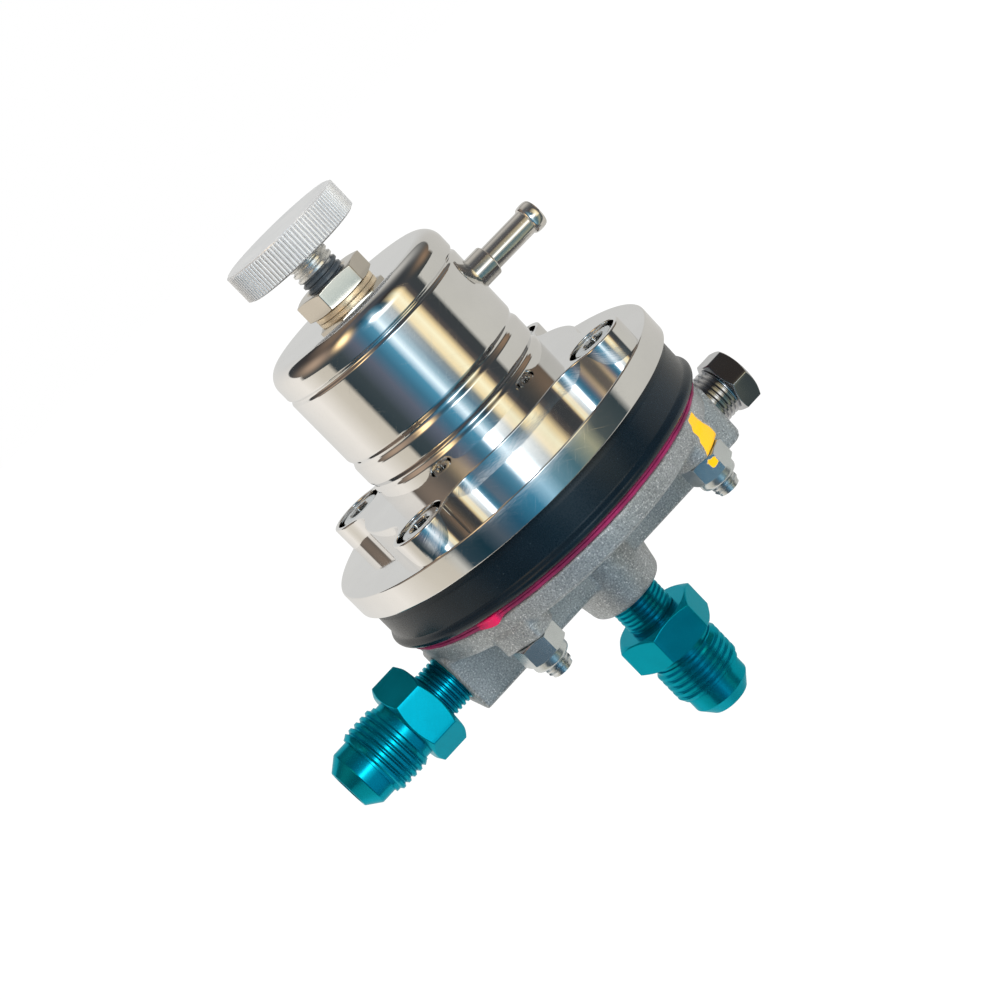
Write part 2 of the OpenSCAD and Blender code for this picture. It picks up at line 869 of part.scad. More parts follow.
module thrust_ball() {
    color([0.8, 0.8, 0.82])
        translate([0, 0, ball_z])
            sphere(d = ball_d);
}

// Disc that slides in the spring chamber, dished for the ball
module upper_spring_seat() {
    color([0.7, 0.7, 0.7])
        difference() {
            union() {
                translate([0, 0, seat_disc_z])
                    cylinder(d = seat_disc_d, h = seat_disc_t);
                translate([0, 0, seat_disc_z - seat_spigot_len])
                    cylinder(d = seat_spigot_d, h = seat_spigot_len + over);
            }
            translate([0, 0, ball_z])
                sphere(d = ball_d + 2 * contact_gap);
        }
}

// Spring with closed ends ground flat on the cup and the seat
module main_spring() {
    steps = 24;
    sides = 10;
    low = cup_floor_z + wire_d * ground_share;
    high = seat_disc_z - wire_d * ground_share;
    rise = high - low;
    dead = wire_d * dead_turn_rise;
    free = (rise - 2 * dead) / (spring_turns - 2);
    height = function(t)
        t < 1 ? t * dead
        : t > spring_turns - 1 ? rise - (spring_turns - t) * dead
        : dead + (t - 1) * free;
    rings = steps * spring_turns;
    point = function(i, j)
        let (t = i / steps, a = 360 * t, b = 360 * j / sides, r = spring_d / 2 + wire_d / 2 * cos(b))
        [r * cos(a), r * sin(a), low + height(t) + wire_d / 2 * sin(b)];
    points = [for (i = [0 : rings], j = [0 : sides - 1]) point(i, j)];
    wall = [
        for (i = [0 : rings - 1], j = [0 : sides - 1])
            [
                i * sides + j,
                (i + 1) * sides + j,
                (i + 1) * sides + (j + 1) % sides,
                i * sides + (j + 1) % sides
            ]
    ];
    first = [for (j = [0 : sides - 1]) j];
    last = [for (j = [sides - 1 : -1 : 0]) rings * sides + j];
    color([0.45, 0.46, 0.48])
        intersection() {
            polyhedron(points, concat(wall, [first], [last]));
            translate([0, 0, cup_floor_z])
                cylinder(d = spring_d + 3 * wire_d, h = seat_disc_z - cup_floor_z);
        }
}

// Spring cup on the diaphragm
module upper_diaphragm_plate() {
    color([0.7, 0.7, 0.68])
        translate([0, 0, ring_z])
            difference() {
                cylinder(d = plate_d, h = plate_t + cup_h);
                translate([0, 0, plate_t])
                    cylinder(d = cup_rim_d, h = cup_h + over);
                translate([0, 0, -over])
                    cylinder(d = stem_d + 2 * running_gap, h = plate_t + 2 * over);
            }
}

module lower_diaphragm_plate() {
    color([0.7, 0.7, 0.68])
        translate([0, 0, lower_plate_z])
            difference() {
                cylinder(d = plate_d, h = plate_t);
                translate([0, 0, -over])
                    cylinder(d = stem_d + 2 * running_gap, h = plate_t + 2 * over);
            }
}

// Stem with the valve head, recessed for its sealing pad
module valve_stem() {
    top_z = stem_nut_z + stem_nut_h + stem_proud;
    color([0.75, 0.72, 0.6])
        difference() {
            union() {
                translate([0, 0, valve_head_z])
                    cylinder(d = valve_head_d, h = valve_head_t);
                translate([0, 0, valve_head_z])
                    cylinder(d = stem_d, h = top_z - valve_head_z);
            }
            translate([0, 0, valve_head_z - over])
                cylinder(d = pad_d + 2 * thread_gap, h = pad_t - pad_proud + over);
        }
}

module stem_nut() {
    color([0.7, 0.7, 0.72])
        translate([0, 0, stem_nut_z])
            difference() {
                hexagon(stem_nut_af, stem_nut_h);
                translate([0, 0, -over])
                    cylinder(d = stem_d + 2 * thread_gap, h = stem_nut_h + 2 * over);
            }
}

module valve_pad() {
    color([0.12, 0.12, 0.12])
        translate([0, 0, pad_z])
            cylinder(d = pad_d, h = pad_t);
}

// Pressed-in seat with a raised land around its hole
module valve_seat() {
    low_z = seat_land_z - seat_insert_len;
    color([0.78, 0.62, 0.3])
        difference() {
            turned([
                [0, low_z],
                [seat_insert_d / 2, low_z],
                [seat_insert_d / 2, seat_land_z - seat_land_h],
                [seat_land_d / 2, seat_land_z],
                [0, seat_land_z]
            ]);
            translate([0, 0, low_z - over])
                cylinder(d = seat_hole_d, h = seat_insert_len + 2 * over);
        }
}

bonnet();
adjuster_knob();
adjuster_screw();
lock_nut();
seal_washer();
vacuum_nipple();
cover_screws();
cover_nuts();
spacer_ring();
diaphragm();
base_casting();
inlet_fitting();
outlet_fitting();
port_plug();
thrust_ball();
upper_spring_seat();
main_spring();
upper_diaphragm_plate();
lower_diaphragm_plate();
valve_stem();
stem_nut();
valve_pad();
valve_seat();
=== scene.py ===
import json
import math
from functools import partial, reduce
from types import SimpleNamespace

import bmesh
import bpy
from mathutils import Matrix, Vector, noise

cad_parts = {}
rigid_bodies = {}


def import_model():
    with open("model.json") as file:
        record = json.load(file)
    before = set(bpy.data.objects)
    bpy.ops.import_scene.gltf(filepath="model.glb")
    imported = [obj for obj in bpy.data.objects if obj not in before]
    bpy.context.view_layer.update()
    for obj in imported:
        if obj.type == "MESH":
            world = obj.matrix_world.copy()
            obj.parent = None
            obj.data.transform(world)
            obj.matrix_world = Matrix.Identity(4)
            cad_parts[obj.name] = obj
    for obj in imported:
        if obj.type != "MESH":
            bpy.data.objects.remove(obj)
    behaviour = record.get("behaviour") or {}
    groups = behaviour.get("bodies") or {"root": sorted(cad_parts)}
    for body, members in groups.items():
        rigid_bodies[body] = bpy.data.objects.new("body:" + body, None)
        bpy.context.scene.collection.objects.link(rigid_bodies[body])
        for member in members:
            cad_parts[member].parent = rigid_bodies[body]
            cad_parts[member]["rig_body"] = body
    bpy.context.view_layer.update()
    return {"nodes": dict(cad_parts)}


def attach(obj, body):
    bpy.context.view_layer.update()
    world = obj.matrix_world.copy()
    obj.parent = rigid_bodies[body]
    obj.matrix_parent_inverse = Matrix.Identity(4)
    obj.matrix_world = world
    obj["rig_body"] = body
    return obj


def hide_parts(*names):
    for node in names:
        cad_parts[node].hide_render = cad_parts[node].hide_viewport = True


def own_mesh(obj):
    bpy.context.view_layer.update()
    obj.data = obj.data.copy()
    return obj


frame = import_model()
nodes = frame["nodes"]
scene = bpy.context.scene
scene.view_settings.view_transform = "Standard"
millimetre = 0.001  # pieces are drawn in millimetres and scaled once
fullTurn = 2 * math.pi
tiny = 1e-4  # a ring's points stay apart at its axis until they are merged
print("frame loaded:", len(nodes), "nodes")

# camera, at the photograph's angle and roll
cameraSetup = {
    "place": (-74.392, -389.920, 151.018),
    "azimuth": -10.057,
    "elevation": 14.101,
    "roll": 44.211,
    "lens": 81.83,
    "sensor": 36,
}


def aimCamera(setup):
    azimuth, elevation, roll = (math.radians(setup[k]) for k in ("azimuth", "elevation", "roll"))
    right = Vector((math.cos(azimuth), math.sin(azimuth), 0))
    back = Vector((
        math.sin(azimuth) * math.cos(elevation),
        -math.cos(azimuth) * math.cos(elevation),
        math.sin(elevation),
    ))
    up = back.cross(right)
    sideways = right * math.cos(roll) - up * math.sin(roll)
    upward = right * math.sin(roll) + up * math.cos(roll)
    data = bpy.data.cameras.new("photoCamera")
    data.lens = setup["lens"]
    data.sensor_width = setup["sensor"]
    data.clip_start = 0.01
    camera = bpy.data.objects.new("photoCamera", data)
    turned = Matrix((sideways, upward, back)).transposed().to_4x4()
    camera.matrix_world = Matrix.Translation(Vector(setup["place"]) * millimetre) @ turned
    scene.collection.objects.link(camera)
    scene.camera = camera


aimCamera(cameraSetup)


# node helpers
def addNode(tree, kind, **values):
    node = tree.nodes.new(kind)
    for key, value in values.items():
        setattr(node, key, value)
    return node


def setInputs(node, values):
    for key, value in values.items():
        node.inputs[key].default_value = value
    return node


def link(tree, source, target):
    tree.links.new(source, target)


def feed(tree, value, socket):
    # a socket takes another node's output or a fixed value
    if isinstance(value, bpy.types.NodeSocket):
        link(tree, value, socket)
    else:
        socket.default_value = value


def mathNode(tree, operation, *terms):
    node = addNode(tree, "ShaderNodeMath", operation=operation)
    for value, socket in zip(terms, node.inputs):
        feed(tree, value, socket)
    return node.outputs[0]


def rampNode(tree, source, stops):
    node = addNode(tree, "ShaderNodeValToRGB")
    marks = node.color_ramp.elements
    while len(marks) < len(stops):
        marks.new(1)
    for mark, (place, colour) in zip(marks, stops):
        mark.position = place
        mark.color = (*colour, 1)
    link(tree, source, node.inputs[0])
    return node.outputs[0]


def rangeNode(tree, source, fromLow, fromHigh, toLow, toHigh):
    node = addNode(tree, "ShaderNodeMapRange")
    setInputs(node, {"From Min": fromLow, "From Max": fromHigh, "To Min": toLow, "To Max": toHigh})
    link(tree, source, node.inputs["Value"])
    return node.outputs[0]


def mixColour(tree, share, first, second, blend="MIX"):
    node = addNode(tree, "ShaderNodeMix", data_type="RGBA", blend_type=blend)
    feed(tree, share, node.inputs[0])
    for value, socket in ((first, node.inputs[6]), (second, node.inputs[7])):
        feed(tree, (*value, 1) if isinstance(value, tuple) else value, socket)
    return node.outputs[2]


def objectPlace(tree):
    return addNode(tree, "ShaderNodeTexCoord").outputs["Object"]


def placeParts(tree):
    node = addNode(tree, "ShaderNodeSeparateXYZ")
    link(tree, objectPlace(tree), node.inputs[0])
    return node.outputs


def axisDistance(tree, x, y):
    square = mathNode(tree, "ADD", mathNode(tree, "POWER", x, 2), mathNode(tree, "POWER", y, 2))
    return mathNode(tree, "SQRT", square)


def noiseNode(tree, place, values):
    node = setInputs(addNode(tree, "ShaderNodeTexNoise"), values)
    link(tree, place, node.inputs["Vector"])
    return node


def clearTree(owner):
    owner.use_nodes = True
    owner.node_tree.nodes.clear()
    return owner.node_tree


def seenDirectly(tree):
    path = addNode(tree, "ShaderNodeLightPath")
    bright = mathNode(tree, "MAXIMUM", path.outputs["Is Camera Ray"], path.outputs["Is Glossy Ray"])
    return mathNode(tree, "MAXIMUM", bright, path.outputs["Is Transmission Ray"])


# mesh and object helpers
def weld(bm, distance=0.0005):
    bmesh.ops.remove_doubles(bm, verts=bm.verts, dist=distance)


def resize(bm, factor):
    bmesh.ops.scale(bm, verts=bm.verts, vec=(factor,) * 3)


def meshFrom(bm, name, smooth=False):
    mesh = bpy.data.meshes.new(name)
    bm.to_mesh(mesh)
    bm.free()
    mesh.polygons.foreach_set("use_smooth", [smooth] * len(mesh.polygons))
    return mesh


def addObject(name, data):
    made = bpy.data.objects.new(name, data)
    scene.collection.objects.link(made)
    return made


# studio: white world, pale floor, soft lamps and a surround that only shiny surfaces see
studioSetup = {
    "worldFill": 0.4,
    "floorHeight": -260,
    "floorSize": 9000,
    "floorShadow": 0.12,
    "floorGlow": 1.13,
    "surroundCentre": (0, 0, 60),
    "surroundRadius": 700,
}


def whiteWorld(setup):
    world = bpy.data.worlds.new("studioWorld")
    tree = clearTree(world)
    sky = setInputs(addNode(tree, "ShaderNodeBackground"), {"Color": (1, 1, 1, 1)})
    level = addNode(tree, "ShaderNodeMix", data_type="FLOAT")
    level.inputs[2].default_value = setup["worldFill"]
    level.inputs[3].default_value = 1
    link(tree, seenDirectly(tree), level.inputs[0])
    link(tree, level.outputs[0], sky.inputs["Strength"])
    link(tree, sky.outputs[0], addNode(tree, "ShaderNodeOutputWorld").inputs[0])
    scene.world = world


def paleFloor(setup):
    bm = bmesh.new()
    bmesh.ops.create_grid(bm, x_segments=1, y_segments=1, size=setup["floorSize"] / 2)
    bmesh.ops.translate(bm, verts=bm.verts, vec=(0, 0, setup["floorHeight"]))
    resize(bm, millimetre)
    material = bpy.data.materials.new("paleFloor")
    tree = clearTree(material)
    matt = setInputs(addNode(tree, "ShaderNodeBsdfDiffuse"), {"Color": (0.92, 0.92, 0.92, 1)})
    light = {"Color": (1, 1, 1, 1), "Strength": setup["floorGlow"]}
    glow = setInputs(addNode(tree, "ShaderNodeEmission"), light)
    both = addNode(tree, "ShaderNodeMixShader")
    share = mathNode(tree, "MULTIPLY", seenDirectly(tree), 1 - setup["floorShadow"])
    link(tree, share, both.inputs[0])
    link(tree, matt.outputs[0], both.inputs[1])
    link(tree, glow.outputs[0], both.inputs[2])
    link(tree, both.outputs[0], addNode(tree, "ShaderNodeOutputMaterial").inputs[0])
    floor = addObject("floor", meshFrom(bm, "floor"))
    floor.data.materials.append(material)
    floor.visible_glossy = False


# the surround: pale paper at the sides and back, a dark room in front and above;
# angles in degrees, to the right of the camera's direction and up from level
surroundSetup = {
    "openMiddle": 5.7,
    "openMost": 200,
    "openHalf": [
        (-90, 60), (-14, 65), (-5, 66), (-3, 74), (1, 104), (16, 106), (30, 140), (42, 172), (60, 190),
    ],
    "edge": 2.5,
    "paper": [
        (-180, (0.68, 0.68, 0.665)), (-104, (1.0, 0.94, 0.86)), (-76, (0.72, 0.66, 0.56)),
        (-58, (0.66, 0.6, 0.5)), (74, (0.64, 0.62, 0.56)), (150, (0.62, 0.6, 0.56)),
        (180, (0.68, 0.68, 0.665)),
    ],
    "front": [
        (-60, (0.03, 0.05, 0.06)), (-43, (0.05, 0.07, 0.08)), (-25, (0.13, 0.15, 0.2)),
        (-12, (0.06, 0.19, 0.29)), (-1, (0.08, 0.32, 0.48)), (7, (1.0, 1.2, 1.3)),
        (13, (0.28, 0.5, 0.62)), (19, (0.03, 0.15, 0.24)), (26, (0.12, 0.17, 0.19)),
        (32, (1.05, 0.85, 0.48)), (40, (1.2, 1.1, 0.75)), (46, (1.05, 0.82, 0.45)),
        (52, (0.12, 0.1, 0.09)), (58, (0.055, 0.06, 0.065)), (80, (0.05, 0.06, 0.06)),
    ],
    "ceiling": [
        (-60, (0.05, 0.045, 0.045)), (-25, (0.04, 0.05, 0.06)), (-5, (0.03, 0.09, 0.14)),
        (12, (0.12, 0.28, 0.37)), (25, (0.03, 0.045, 0.06)), (38, (0.045, 0.035, 0.03)),
        (60, (0.045, 0.05, 0.055)),
    ],
    "ceilingRise": (18, 48),
    "overhead": [
        (-180, (0.22, 0.17, 0.13)), (-84, (0.2, 0.14, 0.1)), (-30, (0.11, 0.11, 0.12)),
        (60, (0.07, 0.075, 0.085)), (110, (0.26, 0.25, 0.23)), (150, (0.34, 0.32, 0.29)),
        (180, (0.22, 0.17, 0.13)),
    ],
    "overheadRise": (50, 68),
    "table": [
        (-48, (0.03, 0.05, 0.06)), (-36, (0.2, 0.22, 0.23)), (-22, (0.55, 0.6, 0.62)),
        (-8, (0.4, 0.5, 0.6)), (4, (0.9, 1.0, 1.05)), (12, (1.1, 1.15, 1.2)), (24, (0.5, 0.58, 0.64)),
        (40, (0.45, 0.44, 0.4)), (52, (0.1, 0.12, 0.13)), (75, (0.04, 0.05, 0.06)),
    ],
    "tableRise": (-12.1, -12.5),
    "low": [
        (-56, (0.64, 0.62, 0.56)), (-51, (0.03, 0.06, 0.08)), (-38, (0.01, 0.04, 0.06)),
        (-28, (0.08, 0.11, 0.14)), (-16, (0.02, 0.1, 0.17)), (-2, (0.05, 0.24, 0.38)),
        (6, (0.34, 0.6, 0.76)), (14, (0.12, 0.28, 0.36)), (26, (0.06, 0.16, 0.2)),
        (40, (0.38, 0.38, 0.26)), (48, (0.08, 0.1, 0.1)), (75, (0.03, 0.05, 0.06)),
    ],
    "lowRise": (-12.8, -13.2),
    "spots": {
        "lamp": {"turn": -36, "rise": 36, "wide": 11, "tall": 17, "colour": (2.6, 1.8, 0.9)},
        "woodLeft": {"turn": -80, "rise": 30, "wide": 28, "tall": 20, "colour": (0.5, 0.36, 0.26)},
        "strip": {"turn": 20, "rise": 5, "wide": 13, "tall": 9, "colour": (2.3, 2.3, 2.2)},
        "flash": {"turn": 8, "rise": 13.5, "wide": 5, "tall": 6, "colour": (8, 8.2, 8.4)},
        "skyRight": {"turn": 150, "rise": 56, "wide": 36, "tall": 22, "colour": (0.6, 0.58, 0.54)},
        "woodRight": {"turn": 100, "rise": 21, "wide": 22, "tall": 12, "colour": (0.3, 0.2, 0.13)},
    },
}


def spotMask(tree, turn, rise, spot):
    # a soft round spot in the surround
    calc = partial(mathNode, tree)
    across = calc("DIVIDE", calc("SUBTRACT", turn, spot["turn"]), spot["wide"])
    upward = calc("DIVIDE", calc("SUBTRACT", rise, spot["rise"]), spot["tall"])
    square = calc("ADD", calc("POWER", across, 2), calc("POWER", upward, 2))
    return calc("EXPONENT", calc("MULTIPLY", square, -1))


def degreeRamp(tree, source, stops):
    low, high = stops[0][0], stops[-1][0]
    share = rangeNode(tree, source, low, high, 0, 1)
    return rampNode(tree, share, [((place - low) / (high - low), colour) for place, colour in stops])


def surroundMaterial(setup):
    material = bpy.data.materials.new("surround")
    tree = clearTree(material)
    calc = partial(mathNode, tree)
    x, y, z = placeParts(tree)
    turn = calc("DEGREES", calc("ARCTAN2", x, calc("MULTIPLY", y, -1)))
    turn = calc("WRAP", calc("SUBTRACT", turn, cameraSetup["azimuth"]), 180, -180)
    level = calc("DIVIDE", z, studioSetup["surroundRadius"] * millimetre)
    rise = calc("DEGREES", calc("ARCSINE", level))
    # how far round the dark room reaches at each height
    grey = [(place, (half / setup["openMost"],) * 3) for place, half in setup["openHalf"]]
    half = calc("MULTIPLY", degreeRamp(tree, rise, grey), setup["openMost"])
    away = calc("ABSOLUTE", calc("SUBTRACT", turn, setup["openMiddle"]))
    outside = rangeNode(tree, calc("SUBTRACT", away, half), -setup["edge"], setup["edge"], 0, 1)
    room = degreeRamp(tree, turn, setup["front"])
    for name in ("ceiling", "overhead", "table", "low"):
        share = rangeNode(tree, rise, *setup[name + "Rise"], 0, 1)
        room = mixColour(tree, share, room, degreeRamp(tree, turn, setup[name]))
    for spot in setup["spots"].values():
        room = mixColour(tree, spotMask(tree, turn, rise, spot), room, spot["colour"])
    paper = degreeRamp(tree, turn, setup["paper"])
    glow = addNode(tree, "ShaderNodeEmission")
    link(tree, mixColour(tree, outside, room, paper), glow.inputs["Color"])
    link(tree, glow.outputs[0], addNode(tree, "ShaderNodeOutputMaterial").inputs[0])
    return material


def surround(setup):
    bm = bmesh.new()
    bmesh.ops.create_uvsphere(bm, u_segments=64, v_segments=32, radius=setup["surroundRadius"] * millimetre)
    shell = addObject("surround", meshFrom(bm, "surround", True))
    shell.data.materials.append(surroundMaterial(surroundSetup))
    shell.location = Vector(setup["surroundCentre"]) * millimetre
    shell.visible_camera = False
    shell.visible_diffuse = False
    shell.visible_shadow = False
    shell.visible_transmission = False


lampSetup = {
    "key": {"place": (260, -620, 420), "aim": (0, 0, 50), "size": 420, "power": 6.6, "tint": (1, 1, 1)},
    "fill": {"place": (-620, -360, 260), "aim": (0, 0, 50), "size": 480, "power": 2.2,
             "tint": (1, 0.97, 0.93)},
    "top": {"place": (60, 120, 760), "aim": (0, 0, 60), "size": 600, "power": 2.3, "tint": (1, 1, 1)},
}


def softLamps(setup):
    for name, values in setup.items():
        data = bpy.data.lights.new(name + "Lamp", "AREA")
        data.size = values["size"] * millimetre
        data.energy = values["power"]
        data.color = values["tint"]
        lamp = addObject(name + "Lamp", data)
        spot, aim = Vector(values["place"]), Vector(values["aim"])
        lamp.location = spot * millimetre
        lamp.rotation_euler = (aim - spot).to_track_quat("-Z", "Y").to_euler()
        lamp.visible_glossy = False


whiteWorld(studioSetup)
paleFloor(studioSetup)
surround(studioSetup)
softLamps(lampSetup)
print("studio ready")


# shared effects
def newGroup(name, inputs, outputs):
    group = bpy.data.node_groups.new(name, "ShaderNodeTree")
    for label, value in inputs.items():
        socket = group.interface.new_socket(label, in_out="INPUT", socket_type="NodeSocketFloat")
        socket.default_value = value
    for label in outputs:
        group.interface.new_socket(label, in_out="OUTPUT", socket_type="NodeSocketFloat")
    return group, addNode(group, "NodeGroupInput"), addNode(group, "NodeGroupOutput")


def grainGroup():
    group, given, made = newGroup("surfaceGrain", {"Scale": 900, "Patch Scale": 60}, ("Grain", "Patches"))
    layers = (("Scale", "Grain", 3, 0.65), ("Patch Scale", "Patches", 4, 0.6))
    for scale, label, detail, roughness in layers:
        texture = noiseNode(group, objectPlace(group), {"Detail": detail, "Roughness": roughness})
        link(group, given.outputs[scale], texture.inputs["Scale"])
        link(group, texture.outputs[0], made.inputs[label])
    return group


hairlineSetup = {"slants": (32, -48), "stretch": (150, 6500, 1), "from": 0.62, "to": 0.72}


def polishGroup(hairs):
    labels = ("Marks", "Smears", "Hairlines")
    group, given, made = newGroup("polishMarks", {"Along": 40, "Across": 2600}, labels)
    calc = partial(mathNode, group)
    x, y, z = placeParts(group)
    # marks run round the axis: angle along, height and radius across
    angle = calc("ARCTAN2", y, x)
    radius = axisDistance(group, x, y)
    down = calc("ADD", z, radius)
    wrapped = addNode(group, "ShaderNodeCombineXYZ")
    for socket, share in zip(wrapped.inputs, (calc("COSINE", angle), calc("SINE", angle))):
        link(group, calc("MULTIPLY", share, given.outputs["Along"]), socket)
    link(group, calc("MULTIPLY", down, given.outputs["Across"]), wrapped.inputs[2])
    lines = noiseNode(group, wrapped.outputs[0], {"Scale": 1, "Detail": 2, "Roughness": 0.6})
    smears = noiseNode(group, objectPlace(group), {"Scale": 70, "Detail": 4, "Roughness": 0.6})
    link(group, lines.outputs[0], made.inputs["Marks"])
    link(group, smears.outputs[0], made.inputs["Smears"])
    # hairlines slant both ways over the unrolled surface
    unrolled = addNode(group, "ShaderNodeCombineXYZ")
    link(group, calc("MULTIPLY", angle, radius), unrolled.inputs[0])
    link(group, down, unrolled.inputs[1])
    drawn = []
    for slant in hairs["slants"]:
        turned = addNode(group, "ShaderNodeVectorRotate", rotation_type="Z_AXIS")
        setInputs(turned, {"Angle": math.radians(slant)})
        link(group, unrolled.outputs[0], turned.inputs["Vector"])
        stretched = addNode(group, "ShaderNodeVectorMath", operation="MULTIPLY")
        setInputs(stretched, {1: hairs["stretch"]})
        link(group, turned.outputs[0], stretched.inputs[0])
        texture = noiseNode(group, stretched.outputs[0], {"Scale": 1, "Detail": 1})
        drawn.append(rangeNode(group, texture.outputs[0], hairs["from"], hairs["to"], 0, 1))
    link(group, calc("MAXIMUM", *drawn), made.inputs["Hairlines"])
    return group


surfaceGrain = grainGroup()
polishMarks = polishGroup(hairlineSetup)


def useGroup(tree, group, values):
    return setInputs(addNode(tree, "ShaderNodeGroup", node_tree=group), values)


def newMaterial(name, finish):
    material = bpy.data.materials.new(name)
    material.use_nodes = True
    shader = material.node_tree.nodes["Principled BSDF"]
    setInputs(shader, {"Metallic": finish["metallic"], **finish["constants"]})
    return material, material.node_tree, shader


def addBump(tree, shader, height, finish):
    values = {"Strength": finish["bump"], "Distance": finish["depth"] * millimetre}
    node = setInputs(addNode(tree, "ShaderNodeBump"), values)
    link(tree, height, node.inputs["Height"])
    link(tree, node.outputs[0], shader.inputs["Normal"])


turnedUsual = {"along": 60, "across": 1500, "metallic": 1.0, "depth": 0.03, "hairlines": 0, "constants": {}}
grainUsual = {"metallic": 0.0, "speckAndGlintFrom": 0.66, "speckAndGlintTo": 0.8, "grit": 0.0, "constants": {}}


def turnedMetal(name, values):
    # metal with fine marks round the piece's axis, and soft smears
    finish = {**turnedUsual, **values}
    material, tree, shader = newMaterial(name, finish)
    marks = useGroup(tree, polishMarks, {"Along": finish["along"], "Across": finish["across"]})
    darker = tuple(c * finish["shade"] for c in finish["colour"])
    tone = rangeNode(tree, marks.outputs["Smears"], 0.3, 0.7, 0, 1)
    link(tree, mixColour(tree, tone, darker, finish["colour"]), shader.inputs["Base Color"])
    rough = rangeNode(tree, marks.outputs["Smears"], 0.25, 0.75, *finish["roughness"])
    if finish["hairlines"]:
        scratched = mathNode(tree, "MULTIPLY", marks.outputs["Hairlines"], finish["hairlines"])
        rough = mathNode(tree, "MAXIMUM", rough, scratched)
    link(tree, rough, shader.inputs["Roughness"])
    addBump(tree, shader, marks.outputs["Marks"], finish)
    return material


def grainMaterial(name, values):
    # a fine grain over soft patches, with brighter specks; on the cast aluminium the specks are painted
    # glints
    finish = {**grainUsual, **values}
    material, tree, shader = newMaterial(name, finish)
    sizes = {"Scale": finish["scale"], "Patch Scale": finish["patchScale"]}
    grain, patches = useGroup(tree, surfaceGrain, sizes).outputs
    tone = rangeNode(tree, patches, 0.3, 0.7, 0, 1)
    colour = mixColour(tree, tone, finish["dark"], finish["light"])
    speckAndGlint = rangeNode(tree, grain, finish["speckAndGlintFrom"], finish["speckAndGlintTo"], 0, 1)
    colour = mixColour(tree, speckAndGlint, colour, finish["speckAndGlint"])
    grit = rangeNode(tree, grain, 0.32, 0.68, 0, 1)
    colour = mixColour(tree, finish["grit"], colour, grit, "OVERLAY")
    link(tree, colour, shader.inputs["Base Color"])
    link(tree, rangeNode(tree, grain, 0.3, 0.7, *finish["roughness"]), shader.inputs["Roughness"])
    addBump(tree, shader, grain, finish)
    return material


turnedFinishes = {
    "polishedAluminium": {"colour": (0.84, 0.845, 0.85), "shade": 0.93, "along": 26, "across": 2400,
                          "roughness": (0.03, 0.065), "bump": 0.05, "hairlines": 0.16},
    "platedSteel": {"colour": (0.86, 0.86, 0.84), "shade": 0.9, "across": 1800, "metallic": 0.75,
                    "roughness": (0.16, 0.28), "bump": 0.08},
    "nutSteel": {"colour": (0.62, 0.58, 0.51), "shade": 0.88, "roughness": (0.1, 0.18), "bump": 0.06},
    "copperWasher": {"colour": (0.8, 0.66, 0.46), "shade": 0.94, "across": 900, "metallic": 0.6,
                     "roughness": (0.24, 0.4), "bump": 0.03},
    "brightNickel": {"colour": (0.8, 0.78, 0.75), "shade": 0.86, "metallic": 0.96,
                     "roughness": (0.06, 0.11), "bump": 0.06},
    "zincSteel": {"colour": (0.74, 0.78, 0.81), "shade": 0.82,
                  "roughness": (0.16, 0.32), "bump": 0.1, "depth": 0.04},
    "paintedNut": {"colour": (0.68, 0.73, 0.75), "shade": 0.78, "across": 1300, "metallic": 0.95,
                   "roughness": (0.14, 0.28), "bump": 0.3, "depth": 0.05},
    "chromePlug": {"colour": (0.52, 0.53, 0.55), "shade": 0.9,
                   "roughness": (0.07, 0.14), "bump": 0.04, "depth": 0.02},
    "tealAnodised": {"colour": (0.0, 0.35, 0.48), "shade": 0.8, "across": 1700, "metallic": 0.91,
                     "roughness": (0.18, 0.28), "bump": 0.1, "depth": 0.04,
                     "constants": {"Specular Tint": (0.5, 0.9, 0.95, 1)}},
    "groundSteel": {"colour": (0.6, 0.6, 0.6), "shade": 0.85, "roughness": (0.22, 0.36), "bump": 0.1},
    "springSteel": {"colour": (0.3, 0.31, 0.33), "shade": 0.8, "across": 900,
                    "roughness": (0.28, 0.42), "bump": 0.08},
    "turnedBrass": {"colour": (0.72, 0.52, 0.2), "shade": 0.86, "roughness": (0.2, 0.34), "bump": 0.1},
}
grainFinishes = {
    "knobAluminium": {"dark": (0.66, 0.675, 0.69), "light": (0.77, 0.775, 0.78), "speckAndGlint": (0.86, 0.86, 0.86),
                      "scale": 1900, "patchScale": 90, "metallic": 0.58,
                      "roughness": (0.28, 0.32), "bump": 0.02, "depth": 0.03},
    "blackRing": {"dark": (0.002, 0.007, 0.012), "light": (0.004, 0.011, 0.018), "speckAndGlint": (0.08, 0.12, 0.14),
                  "speckAndGlintFrom": 0.7, "scale": 2600, "patchScale": 90, "roughness": (0.22, 0.34),
                  "bump": 0.12, "depth": 0.06, "constants": {"Specular IOR Level": 0.32}},
    "diaphragmRubber": {"dark": (0.11, 0.005, 0.04), "light": (0.24, 0.01, 0.08), "speckAndGlint": (0.34, 0.03, 0.1),
                        "scale": 1400, "patchScale": 160,
                        "roughness": (0.45, 0.65), "bump": 0.3, "depth": 0.1},
    # its bright white specks are painted glints of the cast grain
    "castAluminium": {"dark": (0.3, 0.325, 0.34), "light": (0.42, 0.45, 0.47), "speckAndGlint": (0.9, 0.91, 0.91),
                      "speckAndGlintFrom": 0.6, "speckAndGlintTo": 0.72, "scale": 3200, "patchScale": 130, "metallic": 0.7,
                      "roughness": (0.34, 0.56), "bump": 0.8, "depth": 0.1, "grit": 0.42},
    "sealRubber": {"dark": (0.015, 0.015, 0.015), "light": (0.028, 0.028, 0.028), "speckAndGlint": (0.06, 0.06, 0.06),
                   "scale": 1500, "patchScale": 120, "roughness": (0.5, 0.7), "bump": 0.2, "depth": 0.05},
}
finishes = {name: turnedMetal(name, values) for name, values in turnedFinishes.items()}
finishes.update({name: grainMaterial(name, values) for name, values in grainFinishes.items()})
